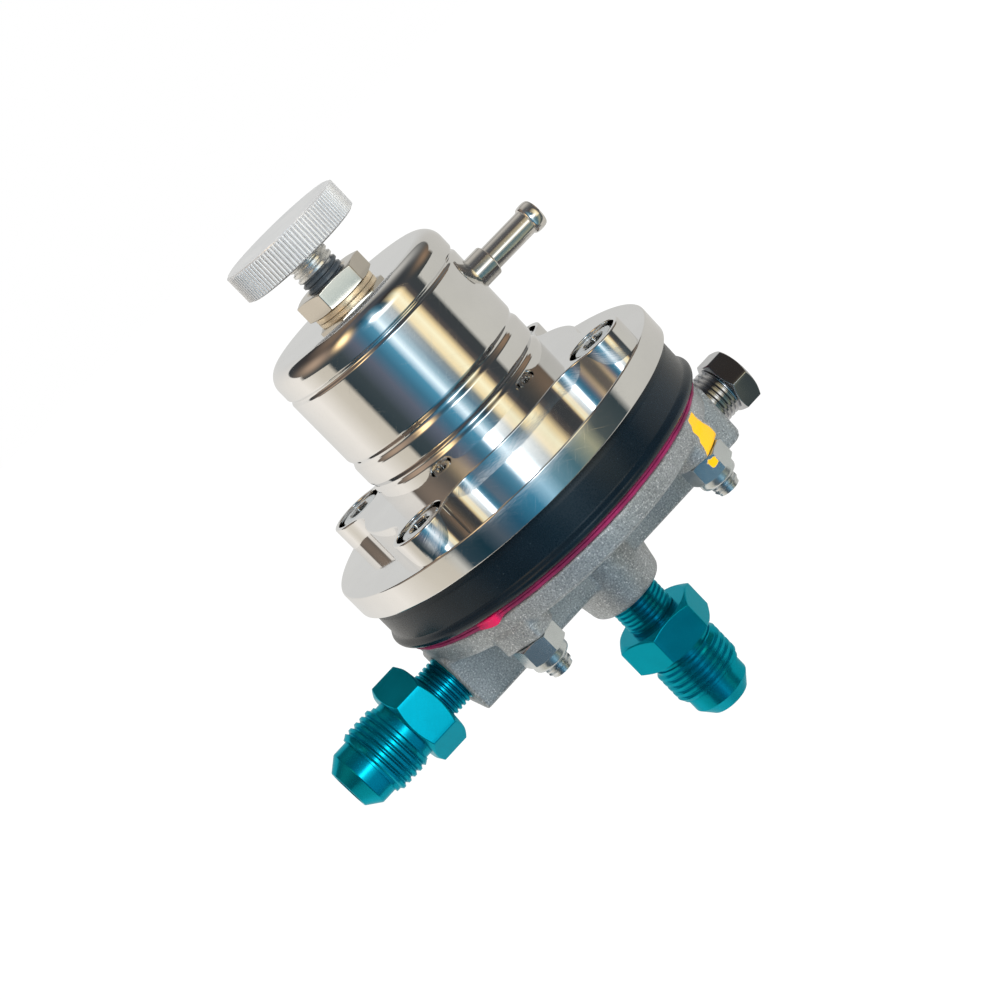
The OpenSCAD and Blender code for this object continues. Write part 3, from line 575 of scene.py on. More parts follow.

# marks in millimetres and degrees: round dabs (a yellow dab on a nut, and a painted highlight on the
# diaphragm's drip), a band of oil, and a brush stroke down the rim
paintYellow = (0.92, 0.48, 0.0)
paintMarks = {
    # the drip's brighter red is a painted highlight on the diaphragm's bulge, not a colour of its own
    "drip": {"finish": "diaphragmRubber", "place": (-25.6, -25.2, 44.2), "radius": 2.6, "soft": 0.5,
             "colour": (0.6, 0.0, 0.08)},
    "nutDab": {"finish": "paintedNut", "place": (21.5, -25.9, 35.2), "radius": 0.9, "soft": 0.1,
               "colour": paintYellow},
    "oil": {"finish": "platedSteel", "band": (84, 104.2), "fade": 0.3, "colour": (0.06, 0.075, 0.09)},
    "rimStroke": {"finish": "castAluminium", "heights": (37.2, 43.4), "left": (-51.8, -46.6),
                  "right": (-39.8, -41.6), "inside": 31.5, "foot": 36.8, "edge": 0.4, "topEdge": 0.2,
                  "colour": paintYellow},
}


def handWobble(tree, scale, reach):
    # uneven edge of a mark: the hand-painted yellow marks, the oil and the drip's painted highlight
    texture = noiseNode(tree, objectPlace(tree), {"Scale": scale, "Detail": 2})
    return rangeNode(tree, texture.outputs[0], 0.3, 0.7, -reach, reach)


def dabMask(tree, mark):
    apart = addNode(tree, "ShaderNodeVectorMath", operation="DISTANCE")
    link(tree, objectPlace(tree), apart.inputs[0])
    apart.inputs[1].default_value = Vector(mark["place"]) * millimetre
    radius = mark["radius"] * millimetre
    uneven = mathNode(tree, "ADD", apart.outputs["Value"], handWobble(tree, 900, radius * 0.4))
    return rangeNode(tree, uneven, radius * (1 + mark["soft"]), radius * (1 - mark["soft"]), 0, 1)


def bandMask(tree, mark):
    low, high = (height * millimetre for height in mark["band"])
    fade = mark["fade"] * millimetre
    uneven = mathNode(tree, "ADD", placeParts(tree)[2], handWobble(tree, 500, fade))
    overFoot = rangeNode(tree, uneven, low - fade, low + fade, 0, 1)
    return mathNode(tree, "MULTIPLY", overFoot, rangeNode(tree, uneven, high + fade, high - fade, 0, 1))


def strokeMask(tree, mark):
    calc = partial(mathNode, tree)
    x, y, z = placeParts(tree)
    angle = calc("ADD", calc("DEGREES", calc("ARCTAN2", y, x)), handWobble(tree, 600, 0.5))
    low, high = (height * millimetre for height in mark["heights"])
    left, right = (rangeNode(tree, z, low, high, *mark[side]) for side in ("left", "right"))
    limits = [
        rangeNode(tree, calc("SUBTRACT", angle, left), 0, mark["edge"], 0, 1),
        rangeNode(tree, calc("SUBTRACT", right, angle), 0, mark["edge"], 0, 1),
        rangeNode(tree, z, high, high - mark["topEdge"] * millimetre, 0, 1),
        calc("GREATER_THAN", axisDistance(tree, x, y), mark["inside"] * millimetre),
        calc("GREATER_THAN", z, mark["foot"] * millimetre),
    ]
    return reduce(partial(calc, "MULTIPLY"), limits)


def paintOver(mark):
    # a mark covers the finish's colour and is no metal: paint, oil, and the drip's painted highlight
    tree = finishes[mark["finish"]].node_tree
    shader = tree.nodes["Principled BSDF"]
    makers = {"place": dabMask, "band": bandMask, "heights": strokeMask}
    mask = next(maker(tree, mark) for key, maker in makers.items() if key in mark)
    bare = shader.inputs["Base Color"].links[0].from_socket
    link(tree, mixColour(tree, mask, bare, mark["colour"]), shader.inputs["Base Color"])
    metal = shader.inputs["Metallic"]
    link(tree, rangeNode(tree, mask, 0, 1, metal.default_value, 0), metal)


for mark in paintMarks.values():
    paintOver(mark)
print("materials ready:", len(finishes))


# mesh helpers
roundPoints = 72  # points round a small turned piece
threadGap = 0.05  # an open ring ends this far from its thread
easeAngle = math.radians(18)  # edges sharper than this are eased
hexFace = 0.97  # a hexagon's flat end, as a share of its width


def named(values):
    # lets a piece's values be read as attributes
    pairs = {key: named(value) if isinstance(value, dict) else value for key, value in values.items()}
    return SimpleNamespace(**pairs)


def allOf(bm):
    return [*bm.verts, *bm.edges, *bm.faces]


def spinLine(bm, points, steps, climb=0, merge=False):
    line = [bm.verts.new((radius, 0, height)) for radius, height in points]
    edges = [bm.edges.new(pair) for pair in zip(line, line[1:])]
    bmesh.ops.spin(bm, geom=line + edges, cent=(0, 0, 0), axis=(0, 0, 1), dvec=(0, 0, climb / steps),
                   angle=fullTurn, steps=steps, use_merge=merge)


def spunOutline(bm, outline, steps):
    spinLine(bm, outline, steps, merge=True)


def valueAt(given, angle):
    return given(angle) if callable(given) else given


def placeRing(verts, radius, height):
    for vert in verts:
        angle = math.atan2(vert.co.y, vert.co.x)
        reach = max(valueAt(radius, angle), tiny)
        vert.co = (reach * math.cos(angle), reach * math.sin(angle), valueAt(height, angle))


def extrudeRing(bm, edges):
    made = bmesh.ops.extrude_edge_only(bm, edges=edges)["geom"]
    verts = [g for g in made if isinstance(g, bmesh.types.BMVert)]
    known = set(verts)
    return verts, [g for g in made if isinstance(g, bmesh.types.BMEdge) and known.issuperset(g.verts)]


def loftRings(bm, rings, angles):
    # a ring of edges carried through each radius and height
    first = bmesh.ops.create_circle(bm, cap_ends=False, segments=len(angles), radius=1)["verts"]
    for vert, angle in zip(first, angles):
        vert.co = (math.cos(angle), math.sin(angle), 0)
    edges = list({edge for vert in first for edge in vert.link_edges})
    placeRing(first, *rings[0])
    for radius, height in rings[1:]:
        verts, edges = extrudeRing(bm, edges)
        placeRing(verts, radius, height)
    return edges


def evenAngles(count, start=0):
    return [start + fullTurn * i / count for i in range(count)]


def hexReach(flats, turn):
    sixth = math.pi / 3

    def reach(angle):
        inside = (angle - turn + sixth / 2) % sixth - sixth / 2
        return flats / 2 / math.cos(sixth / 2 - abs(inside))
    return reach


def hexRings(flats, low, high, turn, slope=30):
    # flat end, conical chamfer, sides, chamfer, flat end; a corner at the given turn
    reach = hexReach(flats, turn)
    face = flats / 2 * hexFace
    drop = math.tan(math.radians(slope))
    return [
        (face, low),
        (reach, lambda angle: low + (reach(angle) - face) * drop),
        (reach, lambda angle: high - (reach(angle) - face) * drop),
        (face, high),
    ]


def arcRings(centreR, centreZ, radius, fromDeg, toDeg, count):
    turns = [math.radians(fromDeg + (toDeg - fromDeg) * i / count) for i in range(count + 1)]
    return [(centreR + radius * math.cos(t), centreZ + radius * math.sin(t)) for t in turns]


def easeEdges(bm, width):
    bm.normal_update()
    sharp = [e for e in bm.edges if len(e.link_faces) == 2 and e.calc_face_angle(0) > easeAngle]
    bmesh.ops.bevel(bm, geom=sharp, offset=width, offset_type="OFFSET", segments=2, profile=0.5,
                    affect="EDGES", material=-1, clamp_overlap=True)


def helixMesh(thread):
    # V thread between two heights, its ends cut square and chamfered
    bm = bmesh.new()
    pitch, low, high, outer, inner = thread.pitch, thread.low, thread.high, thread.outer, thread.inner
    start = low - 1.5 * pitch
    turns = math.ceil((high - low) / pitch) + 3
    tooth = ((0, inner), (0.1, inner), (0.36, outer), (0.74, outer))
    line = [(radius, start + (i + share) * pitch) for i in range(turns) for share, radius in tooth]
    spinLine(bm, line, roundPoints, climb=pitch)
    weld(bm, 0.002)
    for height, side in ((low, -1), (high, 1)):
        bmesh.ops.bisect_plane(bm, geom=allOf(bm), dist=0.0001, plane_co=(0, 0, height),
                               plane_no=(0, 0, side), clear_outer=True)
    leadLow, leadHigh = (getattr(thread, lead, 0) for lead in ("leadLow", "leadHigh"))
    for vert in bm.verts:
        past = max(0, low + leadLow - vert.co.z, vert.co.z - high + leadHigh)
        limit = max(outer - past, inner)
        radius = math.hypot(vert.co.x, vert.co.y)
        if radius > limit:
            vert.co.x *= limit / radius
            vert.co.y *= limit / radius
    return meshFrom(bm, "helix")


def boundaryRing(bm, height, tolerance=0.01):
    return [e for e in bm.edges if e.is_boundary and all(abs(v.co.z - height) < tolerance for v in e.verts)]


def addHelix(bm, thread):
    # puts the thread between the open rings beside its ends, or closes an end that has none
    rings = [boundaryRing(bm, height) for height in (thread.low - threadGap, thread.high + threadGap)]
    mesh = helixMesh(thread)
    known = set(bm.edges)
    bm.from_mesh(mesh)
    bpy.data.meshes.remove(mesh)
    ends = [e for e in bm.edges if e not in known and e.is_boundary]
    middle = (thread.low + thread.high) / 2
    lowEnd = [e for e in ends if e.verts[0].co.z < middle]
    highEnd = [e for e in ends if e.verts[0].co.z > middle]
    for end, ring in zip((lowEnd, highEnd), rings):
        if ring:
            bmesh.ops.bridge_loops(bm, edges=end + ring)
        else:
            bmesh.ops.edgeloop_fill(bm, edges=end)


def turnMesh(bm, angle, axis):
    bmesh.ops.rotate(bm, verts=bm.verts, cent=(0, 0, 0), matrix=Matrix.Rotation(angle, 3, axis))


def standUp(bm, place, axis="Z"):
    # drawn along +Z, laid along the axis and moved
    if axis == "X":
        turnMesh(bm, math.pi / 2, "Y")
    bmesh.ops.translate(bm, verts=bm.verts, vec=place)


def mergeCopy(bm, other, place):
    standUp(other, place)
    part = meshFrom(other, "part")
    bm.from_mesh(part)
    bpy.data.meshes.remove(part)


def nodeMesh(node):
    # the frame's own shape, in millimetres
    bm = bmesh.new()
    bm.from_mesh(nodes[node].data)
    weld(bm, 1e-6)
    bmesh.ops.recalc_face_normals(bm, faces=bm.faces)
    resize(bm, 1 / millimetre)
    return bm


def settleModifiers(piece):
    bpy.context.view_layer.update()
    graph = bpy.context.evaluated_depsgraph_get()
    settled = bpy.data.meshes.new_from_object(piece.evaluated_get(graph))
    piece.modifiers.clear()
    former = piece.data
    piece.data = settled
    bpy.data.meshes.remove(former)


def finishPiece(name, bm, node, finish, sharpAngle=32, body=None):
    weld(bm)
    bmesh.ops.dissolve_degenerate(bm, edges=bm.edges, dist=0.0003)
    bmesh.ops.recalc_face_normals(bm, faces=bm.faces)
    resize(bm, millimetre)
    openEdges = sum(1 for e in bm.edges if not e.is_manifold)
    mesh = meshFrom(bm, name, True)
    mesh.set_sharp_from_angle(angle=math.radians(sharpAngle))
    mesh.materials.append(finishes[finish])
    piece = addObject(name, mesh)
    # walls and facets stay flat beside their eased edges
    shading = piece.modifiers.new("shading", "WEIGHTED_NORMAL")
    shading.keep_sharp = True
    settleModifiers(piece)
    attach(piece, body or nodes[node]["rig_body"])
    if not body:
        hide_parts(node)
    print(name, "faces", len(piece.data.polygons), "open edges", openEdges)
    return piece


# adaptors with a flare end, a hexagon and a port thread
adaptorShape = {
    "bore": 3.4, "tipZ": -6.554, "tipR": 4.1, "noseZ": -3.9, "noseR": 6.1,
    "neckR": 6.3, "hexZ": 8.3, "hexFlats": 16, "shoulderZ": 15.5, "endZ": 27.5, "portEndR": 4.4, "ease": 0.16,
    "flareThread": {"pitch": 1.411, "outer": 7.145, "inner": 6.62, "low": -0.8, "high": 7.0,
                    "leadLow": 0.8, "leadHigh": 0.8},
    "portThread": {"pitch": 1.0, "outer": 5.0, "inner": 4.55, "low": 15.7, "high": 27.0, "leadHigh": 0.4},
    "inletPlace": (-54.6, 0, 35.4), "inletTurn": math.radians(-9),
}


def adaptor(name, node, shape, place, axis, hexTurn):
    bm = bmesh.new()
    angles = evenAngles(roundPoints, hexTurn)
    flare, port = shape.flareThread, shape.portThread
    loftRings(bm, [
        (shape.bore, shape.endZ),
        (shape.bore, shape.tipZ),
        (shape.tipR, shape.tipZ),
        (shape.noseR, shape.noseZ),
        (shape.noseR, flare.low - threadGap),
    ], angles)
    loftRings(bm, [
        (shape.neckR, flare.high + threadGap),
        (shape.neckR, shape.hexZ),
        *hexRings(shape.hexFlats, shape.hexZ, shape.shoulderZ, hexTurn),
        (port.inner, shape.shoulderZ),
        (port.inner, port.low - threadGap),
    ], angles)
    loftRings(bm, [
        (shape.portEndR, port.high + threadGap),
        (shape.portEndR, shape.endZ),
        (shape.bore, shape.endZ),
    ], angles)
    weld(bm)
    easeEdges(bm, shape.ease)
    addHelix(bm, flare)
    addHelix(bm, port)
    standUp(bm, place, axis)
    finishPiece(name, bm, node, "tealAnodised")


adaptors = named(adaptorShape)
adaptor("outletAdaptor", "outlet_fitting", adaptors, (0, 0, 0), "Z", 0)
adaptor("inletAdaptor", "inlet_fitting", adaptors, adaptors.inletPlace, "X", adaptors.inletTurn)
print("adaptors done")

# plug in the right-hand port
plugShape = {
    "headX": 38.8, "portZ": 35.4, "hexFlats": 11, "hexLength": 4.6, "turn": math.radians(24), "ease": 0.14,
    "thread": {"pitch": 1.0, "outer": 5.0, "inner": 4.55, "low": -9.7, "high": -0.25, "leadLow": 0.6},
}


def portPlug(shape):
    bm = bmesh.new()
    thread = shape.thread
    loftRings(bm, [
        (thread.inner, thread.high + threadGap),
        (thread.inner, 0),
        *hexRings(shape.hexFlats, 0, shape.hexLength, shape.turn),
        (0, shape.hexLength),
    ], evenAngles(roundPoints, shape.turn))
    weld(bm)
    easeEdges(bm, shape.ease)
    addHelix(bm, thread)
    standUp(bm, (shape.headX, 0, shape.portZ), "X")
    finishPiece("portPlug", bm, "port_plug", "chromePlug")


portPlug(named(plugShape))

# bonnet: flange, lobed layer with counterbores, grooved tower, spring chamber
bonnetShape = {
    "flangeR": 36.95, "flangeZ": 54.3, "layerZ": 59.45, "towerZ": 64.8, "roofZ": 96.7,
    "layerR": 26.0, "screwR": 30.65, "lobeR": 5.95, "filletR": 7.5,
    "lobePoints": 26, "filletPoints": 12, "layerPoints": 18,
    "boreR": 5.0, "borePoints": 56, "boltHoleR": 2.75, "boltHoleEnd": 0.4,
    "towerR": 19.725, "towerPoints": 256, "shoulderR": 3.4, "shoulderSteps": 16,
    "grooves": ((4.7, 1.9), (10.1, 2.2), (25.6, 1.3)),
    "grooveDepth": 0.42, "grooveSpread": 1.15, "grooveSteps": 8,
    "lipRing": 0.12, "ease": 0.3, "easeSteps": 4, "rimEase": 0.22, "rimSteps": 3,
    "recessR": 24.0, "recessTop": 57.3, "chamberR": 15.2, "ceilingZ": 88.7, "screwHoleR": 4.06,
    "spotX": 19.255, "spotZ": 83.3, "spotR": 3.7, "spotDepth": 6, "spotPoints": 48,
}


def lobedOutline(shape, inset):
    # a quarter of the edge, from one boss to the next: boss, hollow fillet, round, hollow fillet
    layerR, lobeR, filletR = shape.layerR - inset, shape.lobeR - inset, shape.filletR + inset
    screwR = shape.screwR
    toAxis, toBoss = layerR + filletR, lobeR + filletR
    filletX = (toAxis ** 2 + screwR ** 2 - toBoss ** 2) / (2 * screwR)
    filletY = math.sqrt(toAxis ** 2 - filletX ** 2)
    bossTurn = math.atan2(filletY, filletX - screwR)
    layerTurn = math.atan2(filletY, filletX)
    hollow = []
    for i in range(shape.filletPoints):
        turn = math.pi + bossTurn + (layerTurn - bossTurn) * i / shape.filletPoints
        hollow.append((filletX + filletR * math.cos(turn), filletY + filletR * math.sin(turn)))
    points = []
    for i in range(shape.lobePoints):
        turn = bossTurn * (2 * i / shape.lobePoints - 1)
        points.append((screwR + lobeR * math.cos(turn), lobeR * math.sin(turn)))
    points += hollow
    span = math.pi / 2 - 2 * layerTurn
    for i in range(shape.layerPoints + 1):
        turn = layerTurn + span * i / shape.layerPoints
        points.append((layerR * math.cos(turn), layerR * math.sin(turn)))
    points += [(y, x) for x, y in reversed(hollow[1:])]
    return points


screwTurns = [math.pi / 4 + quarter * math.pi / 2 for quarter in range(4)]


def screwPlaces(radius):
    return [(radius * math.cos(turn), radius * math.sin(turn), 0) for turn in screwTurns]


def lobedRing(shape, inset):
    quarter = [Vector(point) for point in lobedOutline(shape, inset)]
    return [Matrix.Rotation(turn, 2) @ point for turn in screwTurns for point in quarter]


def outlineReach(ring):
    marks = [(math.atan2(point.y, point.x), point.length) for point in ring]

    def reach(angle):
        return min(marks, key=lambda mark: abs((mark[0] - angle + math.pi) % fullTurn - math.pi))[1]
    return reach


def grooveRings(shape, middle, width):
    # a shallow hollow with smooth lips; a ring beside each lip keeps the wall's shading straight
    r, z, count = shape.towerR, shape.towerZ + middle, shape.grooveSteps
    half = width * shape.grooveSpread / 2
    shares = [step / count for step in range(-count, count + 1)]
    hollow = [(r - shape.grooveDepth * math.cos(math.pi / 2 * s) ** 2, z + half * s) for s in shares]
    return [(r, z - half - shape.lipRing), *hollow, (r, z + half + shape.lipRing)]


def bonnetMesh(shape):
    bm = bmesh.new()
    outline = lobedRing(shape, 0)
    reach = outlineReach(outline)
    e, steps = shape.ease, shape.easeSteps
    wall = loftRings(bm, [
        (shape.recessR, shape.recessTop),
        (shape.recessR, shape.flangeZ),
        *arcRings(shape.flangeR - e, shape.flangeZ + e, e, -90, 0, steps),
        *arcRings(shape.flangeR - e, shape.layerZ - e, e, 0, 90, steps),
        (reach, shape.layerZ),
        (reach, shape.towerZ - e),
    ], [math.atan2(point.y, point.x) for point in outline])
    # eased top edge: each point moves square to the outline
    for step in range(1, steps + 1):
        turn = math.pi / 2 * step / steps
        verts, wall = extrudeRing(bm, wall)
        ring = lobedRing(shape, e * (1 - math.cos(turn)))
        for vert in verts:
            nearest = min(range(len(ring)), key=lambda i: (outline[i] - vert.co.xy).length)
            vert.co = (*ring[nearest], shape.towerZ - e + e * math.sin(turn))
        outline = ring
    s = shape.shoulderR
    loftRings(bm, [
        (shape.towerR, shape.towerZ),
        *(ring for middle, width in shape.grooves for ring in grooveRings(shape, middle, width)),
        (shape.towerR, shape.roofZ - s - shape.lipRing),
        *arcRings(shape.towerR - s, shape.roofZ - s, s, 0, 90, shape.shoulderSteps),
        (shape.screwHoleR, shape.roofZ),
        (shape.screwHoleR, shape.ceilingZ),
        (shape.chamberR, shape.ceilingZ),
        (shape.chamberR, shape.recessTop),
    ], evenAngles(shape.towerPoints))
    # counterbores: an eased rim, a wall and a floor with the screw's hole
    rim, holeEnd = shape.rimEase, shape.flangeZ + shape.boltHoleEnd
    for place in screwPlaces(shape.screwR):
        hole = bmesh.new()
        loftRings(hole, [
            *arcRings(shape.boreR + rim, shape.towerZ - rim, -rim, -90, 0, shape.rimSteps),
            (shape.boreR, shape.layerZ),
            (shape.boltHoleR, shape.layerZ),
            (shape.boltHoleR, holeEnd),
            (0, holeEnd),
        ], evenAngles(shape.borePoints))
        mergeCopy(bm, hole, place)
    # flat faces: the layer's top round the tower and the counterbores, and the chamber's ledge
    weld(bm)
    for height in (shape.towerZ, shape.recessTop):
        ledge = boundaryRing(bm, height, 0.001)
        bmesh.ops.triangle_fill(bm, use_beauty=True, use_dissolve=False, edges=ledge)
    return bm


def cutPiece(piece, bm):
    weld(bm)
    bmesh.ops.recalc_face_normals(bm, faces=bm.faces)
    resize(bm, millimetre)
    cutter = addObject("cutter", meshFrom(bm, "cutter"))
    step = piece.modifiers.new("cut", "BOOLEAN")
    step.operation = "DIFFERENCE"
    step.solver = "EXACT"
    step.object = cutter
    settleModifiers(piece)
    bpy.data.objects.remove(cutter)


def bonnet(shape):
    piece = finishPiece("bonnetTower", bonnetMesh(shape), "bonnet", "polishedAluminium", 30)
    # flat round seat for the nipple, cut into the tower's side
    bm = bmesh.new()
    r, depth = shape.spotR, shape.spotDepth
    loftRings(bm, [(0, 0), (r, 0), (r, depth), (0, depth)], evenAngles(shape.spotPoints))
    standUp(bm, (shape.spotX, 0, shape.spotZ), "X")
    cutPiece(piece, bm)


bonnet(named(bonnetShape))
print("bonnet done")

# knob with fine upright knurls: broad rounded ridges with narrow grooves between
knobShape = {
    "low": 107.8, "high": 113.8, "outer": 12.5, "depth": 0.38, "knurls": 100, "perKnurl": 8,
    "chamfer": 0.24, "rootEase": 0.05, "topBand": 0.3, "socketR": 4.02, "socketTop": 112.2,
}


def knob(shape):
    bm = bmesh.new()
    low, high, c = shape.low, shape.high, shape.chamfer
    root = shape.outer - shape.depth

    def ridge(angle):
        share = abs(2 * (angle * shape.knurls / fullTurn % 1) - 1)
        return shape.outer - shape.depth * share ** 3

    loftRings(bm, [
        (0, shape.socketTop),
        (shape.socketR, shape.socketTop),
        (shape.socketR, low),
        (root - c, low),
        (root - shape.rootEase, low + c * 0.8),
        (ridge, low + c * 1.3),
        (ridge, high - c * 1.3),
        (root - shape.rootEase, high - c * 0.8),
        (root - c * 0.4, high - c * 0.2),
        (root - c, high),
        (root - c - shape.topBand, high),
        (0, high),
    ], evenAngles(shape.knurls * shape.perKnurl))
    finishPiece("adjusterKnob", bm, "adjuster_knob", "knobAluminium", 50)


knob(named(knobShape))

# adjusting screw, nut and washer on the tower's roof
adjusterShape = {
    "endZ": 83.0, "topZ": 112.17, "coreR": 3.45, "plainR": 3.9,
    "thread": {"pitch": 1.25, "outer": 4.0, "inner": 3.5, "low": 83.6, "high": 107.55, "leadLow": 0.6},
}
lockNutShape = {
    "flats": 13, "low": 97.7, "high": 101.7, "turn": math.radians(-4), "holeR": 4.05, "lead": 0.5,
    "ease": 0.12, "slope": 14,
}
washerShape = {"low": 96.7, "high": 97.7, "outer": 6.5, "hole": 4.3, "ease": 0.16, "points": 96}


def adjusterScrew(shape):
    bm = bmesh.new()
    thread, angles = shape.thread, evenAngles(roundPoints)
    loftRings(bm, [
        (0, shape.endZ), (shape.coreR, shape.endZ), (shape.coreR, thread.low - threadGap),
    ], angles)
    loftRings(bm, [
        (shape.plainR, thread.high + threadGap), (shape.plainR, shape.topZ), (0, shape.topZ),
    ], angles)
    weld(bm)
    addHelix(bm, thread)
    finishPiece("adjusterScrew", bm, "adjuster_screw", "platedSteel")


def lockNut(shape):
    bm = bmesh.new()
    low, high, hole, lead = shape.low, shape.high, shape.holeR, shape.lead
    loftRings(bm, [
        (hole, low + lead), (hole + lead, low),
        *hexRings(shape.flats, low, high, shape.turn, shape.slope),
        (hole + lead, high), (hole, high - lead), (hole, low + lead),
    ], evenAngles(roundPoints, shape.turn))
    weld(bm)
    easeEdges(bm, shape.ease)
    finishPiece("lockNut", bm, "lock_nut", "nutSteel")


def washer(shape):
    bm = bmesh.new()
    low, high, outer, hole, e = shape.low, shape.high, shape.outer, shape.hole, shape.ease
    spunOutline(bm, [
        (hole, low), *arcRings(outer - e, low + e, e, -90, 0, 3),
        *arcRings(outer - e, high - e, e, 0, 90, 3), (hole, high), (hole, low),
    ], shape.points)
    finishPiece("sealWasher", bm, "seal_washer", "copperWasher")


adjusterScrew(named(adjusterShape))
lockNut(named(lockNutShape))
washer(named(washerShape))
print("adjuster done")

# vacuum nipple, laid along X from its flat seat
nippleShape = {
    "seat": (19.255, 0, 83.3), "spigotR": 2.5, "spigotLength": 4.055, "boreR": 1.4, "mouth": 0.25,
    "collarR": 3.15, "collarLength": 4.5, "foot": 0.1, "ease": 0.35, "pipeR": 2.45, "fillet": 0.12,
    "beadZ": 14.1, "beadR": 2.95, "beadSteps": 12, "endZ": 16.8,
}


def nipple(shape):
    bm = bmesh.new()
    e, foot, mouth, boreR, pipeR = shape.ease, shape.foot, shape.mouth, shape.boreR, shape.pipeR
    length, beadZ, endZ = shape.collarLength, shape.beadZ, shape.endZ
    swell = (endZ - beadZ) / 2
    bead = []
    for step in range(1, shape.beadSteps):
        turn = math.pi * step / shape.beadSteps
        out = (shape.beadR - pipeR) * math.sin(turn) ** 0.6
        bead.append((pipeR + out, beadZ + swell - swell * math.cos(turn)))
    spunOutline(bm, [
        (boreR, -shape.spigotLength), (shape.spigotR, -shape.spigotLength), (shape.spigotR, 0),
        *arcRings(shape.collarR - foot, foot, foot, -90, 0, 2),
        *arcRings(shape.collarR - e, length - e, e, 0, 90, 5),
        (pipeR + shape.fillet, length), (pipeR, length + shape.fillet),
        (pipeR, beadZ - 0.05), (pipeR, beadZ), *bead, (pipeR - 0.1, endZ),
        *arcRings(boreR + mouth, endZ - mouth, -mouth, -90, 0, 3),
        (boreR, -shape.spigotLength),
    ], roundPoints)
    standUp(bm, shape.seat, "X")
    finishPiece("vacuumNipple", bm, "vacuum_nipple", "brightNickel", 40)


nipple(named(nippleShape))

# four cover screws with knurled heads, and their collared nuts
coverScrewShape = {
    "circleR": 30.65, "headLow": 59.45, "headHigh": 64.45, "headR": 4.25, "knurl": 0.14, "knurls": 36,
    "socketFlats": 4, "socketFloor": 61.95, "socketLead": 0.3, "socketRim": 2.45, "faceR": 2.7,
    "shankR": 2.5, "endZ": 28.45, "turns": (12, 27, 44, 5), "ease": 0.4,
    "thread": {"pitch": 0.8, "outer": 2.5, "inner": 2.12, "low": 28.8, "high": 37.5, "leadLow": 0.4},
}
coverNutShape = {
    "circleR": 30.65, "flats": 8, "low": 30.8, "collarTop": 32.6, "high": 36.7, "turn": math.radians(40),
    "collarR": 3.7, "collarRound": 0.9, "holeR": 2.56, "lead": 0.3, "ease": 0.1,
}


def coverScrew(shape):
    bm = bmesh.new()
    thread, angles = shape.thread, evenAngles(roundPoints)
    socket = hexReach(shape.socketFlats, 0)
    headR, high, low, e = shape.headR, shape.headHigh, shape.headLow, shape.ease

    def knurled(angle):
        return headR - shape.knurl * (0.5 - 0.5 * math.cos(shape.knurls * angle))

    loftRings(bm, [
        (0, shape.socketFloor), (socket, shape.socketFloor), (socket, high - shape.socketLead),
        (shape.socketRim, high), (shape.faceR, high), (headR - e - 0.2, high),
        (headR - e, high - 0.03), (headR - 0.1, high - e), (knurled, high - e - 0.2),
        (knurled, low + 0.4), (headR - 0.25, low), (shape.shankR, low),
        (shape.shankR, thread.high + threadGap),
    ], angles)
    loftRings(bm, [
        (thread.inner, thread.low - threadGap), (thread.inner, shape.endZ), (0, shape.endZ),
    ], angles)
    weld(bm)
    addHelix(bm, thread)
    return bm


def coverScrews(shape):
    bm = bmesh.new()
    for place, turn in zip(screwPlaces(shape.circleR), shape.turns):
        one = coverScrew(shape)
        turnMesh(one, math.radians(turn), "Z")
        mergeCopy(bm, one, place)
    finishPiece("coverScrews", bm, "cover_screws", "zincSteel", 35)


def coverNuts(shape):
    bm = bmesh.new()
    low, top, high, soft = shape.low, shape.collarTop, shape.high, shape.collarRound
    hole, lead = shape.holeR, shape.lead
    for place in screwPlaces(shape.circleR):
        one = bmesh.new()
        loftRings(one, [
            (hole, low + lead), (hole + 0.2, low + 0.02),
            *arcRings(shape.collarR - soft, low + soft, soft, -90, 0, 6),
            (shape.collarR, top),
            *hexRings(shape.flats, top, high, shape.turn),
            (hole + lead, high), (hole, high - lead), (hole, low + lead),
        ], evenAngles(roundPoints, shape.turn))
        weld(one)
        easeEdges(one, shape.ease)
        mergeCopy(bm, one, place)
    finishPiece("coverNuts", bm, "cover_nuts", "paintedNut")


coverScrews(named(coverScrewShape))
coverNuts(named(coverNutShape))
print("fasteners done")

# spacer ring with a rolled lip at its lower edge
ringShape = {
    "low": 45.4, "high": 54.3, "wallR": 35.55, "boreR": 24.0, "lipR": 36.35, "lipRound": 1.2, "lipDrop": 1.2,
    "lipSteps": 8, "stepDrop": 1.5, "stepRise": 0.25, "step": 0.18, "topEase": 0.5, "points": 200,
}


def spacerRing(shape):
    bm = bmesh.new()
    low, high, wall, r, count = shape.low, shape.high, shape.wallR, shape.lipRound, shape.lipSteps
    lipZ, flare = low + r, shape.lipR - wall
    upperR, ease, stepZ = wall - shape.step, shape.topEase, high - shape.stepDrop
    shares = [step / count for step in range(1, count + 1)]
    spunOutline(bm, [
        (shape.boreR, low),
        *arcRings(shape.lipR - r, lipZ, r, -90, 0, count),
        *((wall + flare * (0.5 + 0.5 * math.cos(math.pi * s)), lipZ + shape.lipDrop * s) for s in shares),
        (wall, stepZ - shape.stepRise), (upperR, stepZ), (upperR, high - ease),
        *arcRings(upperR - ease, high - ease, ease, 20, 90, 3),
        (shape.boreR, high), (shape.boreR, low),
    ], shape.points)
    finishPiece("spacerRing", bm, "spacer_ring", "blackRing", 40)


spacerRing(named(ringShape))

# diaphragm: two layers with an uneven edge, and a drip at the front;
# its clamped centre moves with the valve
sheetShape = {
    "low": 44.0, "high": 45.4, "edgeR": 35.0, "flatR": 34.0, "holeR": 3.05, "centreR": 14.9, "room": 0.5,
    "wave": 0.16, "waveR": 35, "waveScale": 2.2, "split": 44.72, "splitHalf": 0.12, "groove": 0.3,
    "dripTurn": math.radians(225.6), "dripLeft": math.radians(5.5), "dripRight": math.radians(2),
    "dripOut": 0.8, "dripDrop": 0.7, "points": 540, "centrePoints": 96,
}


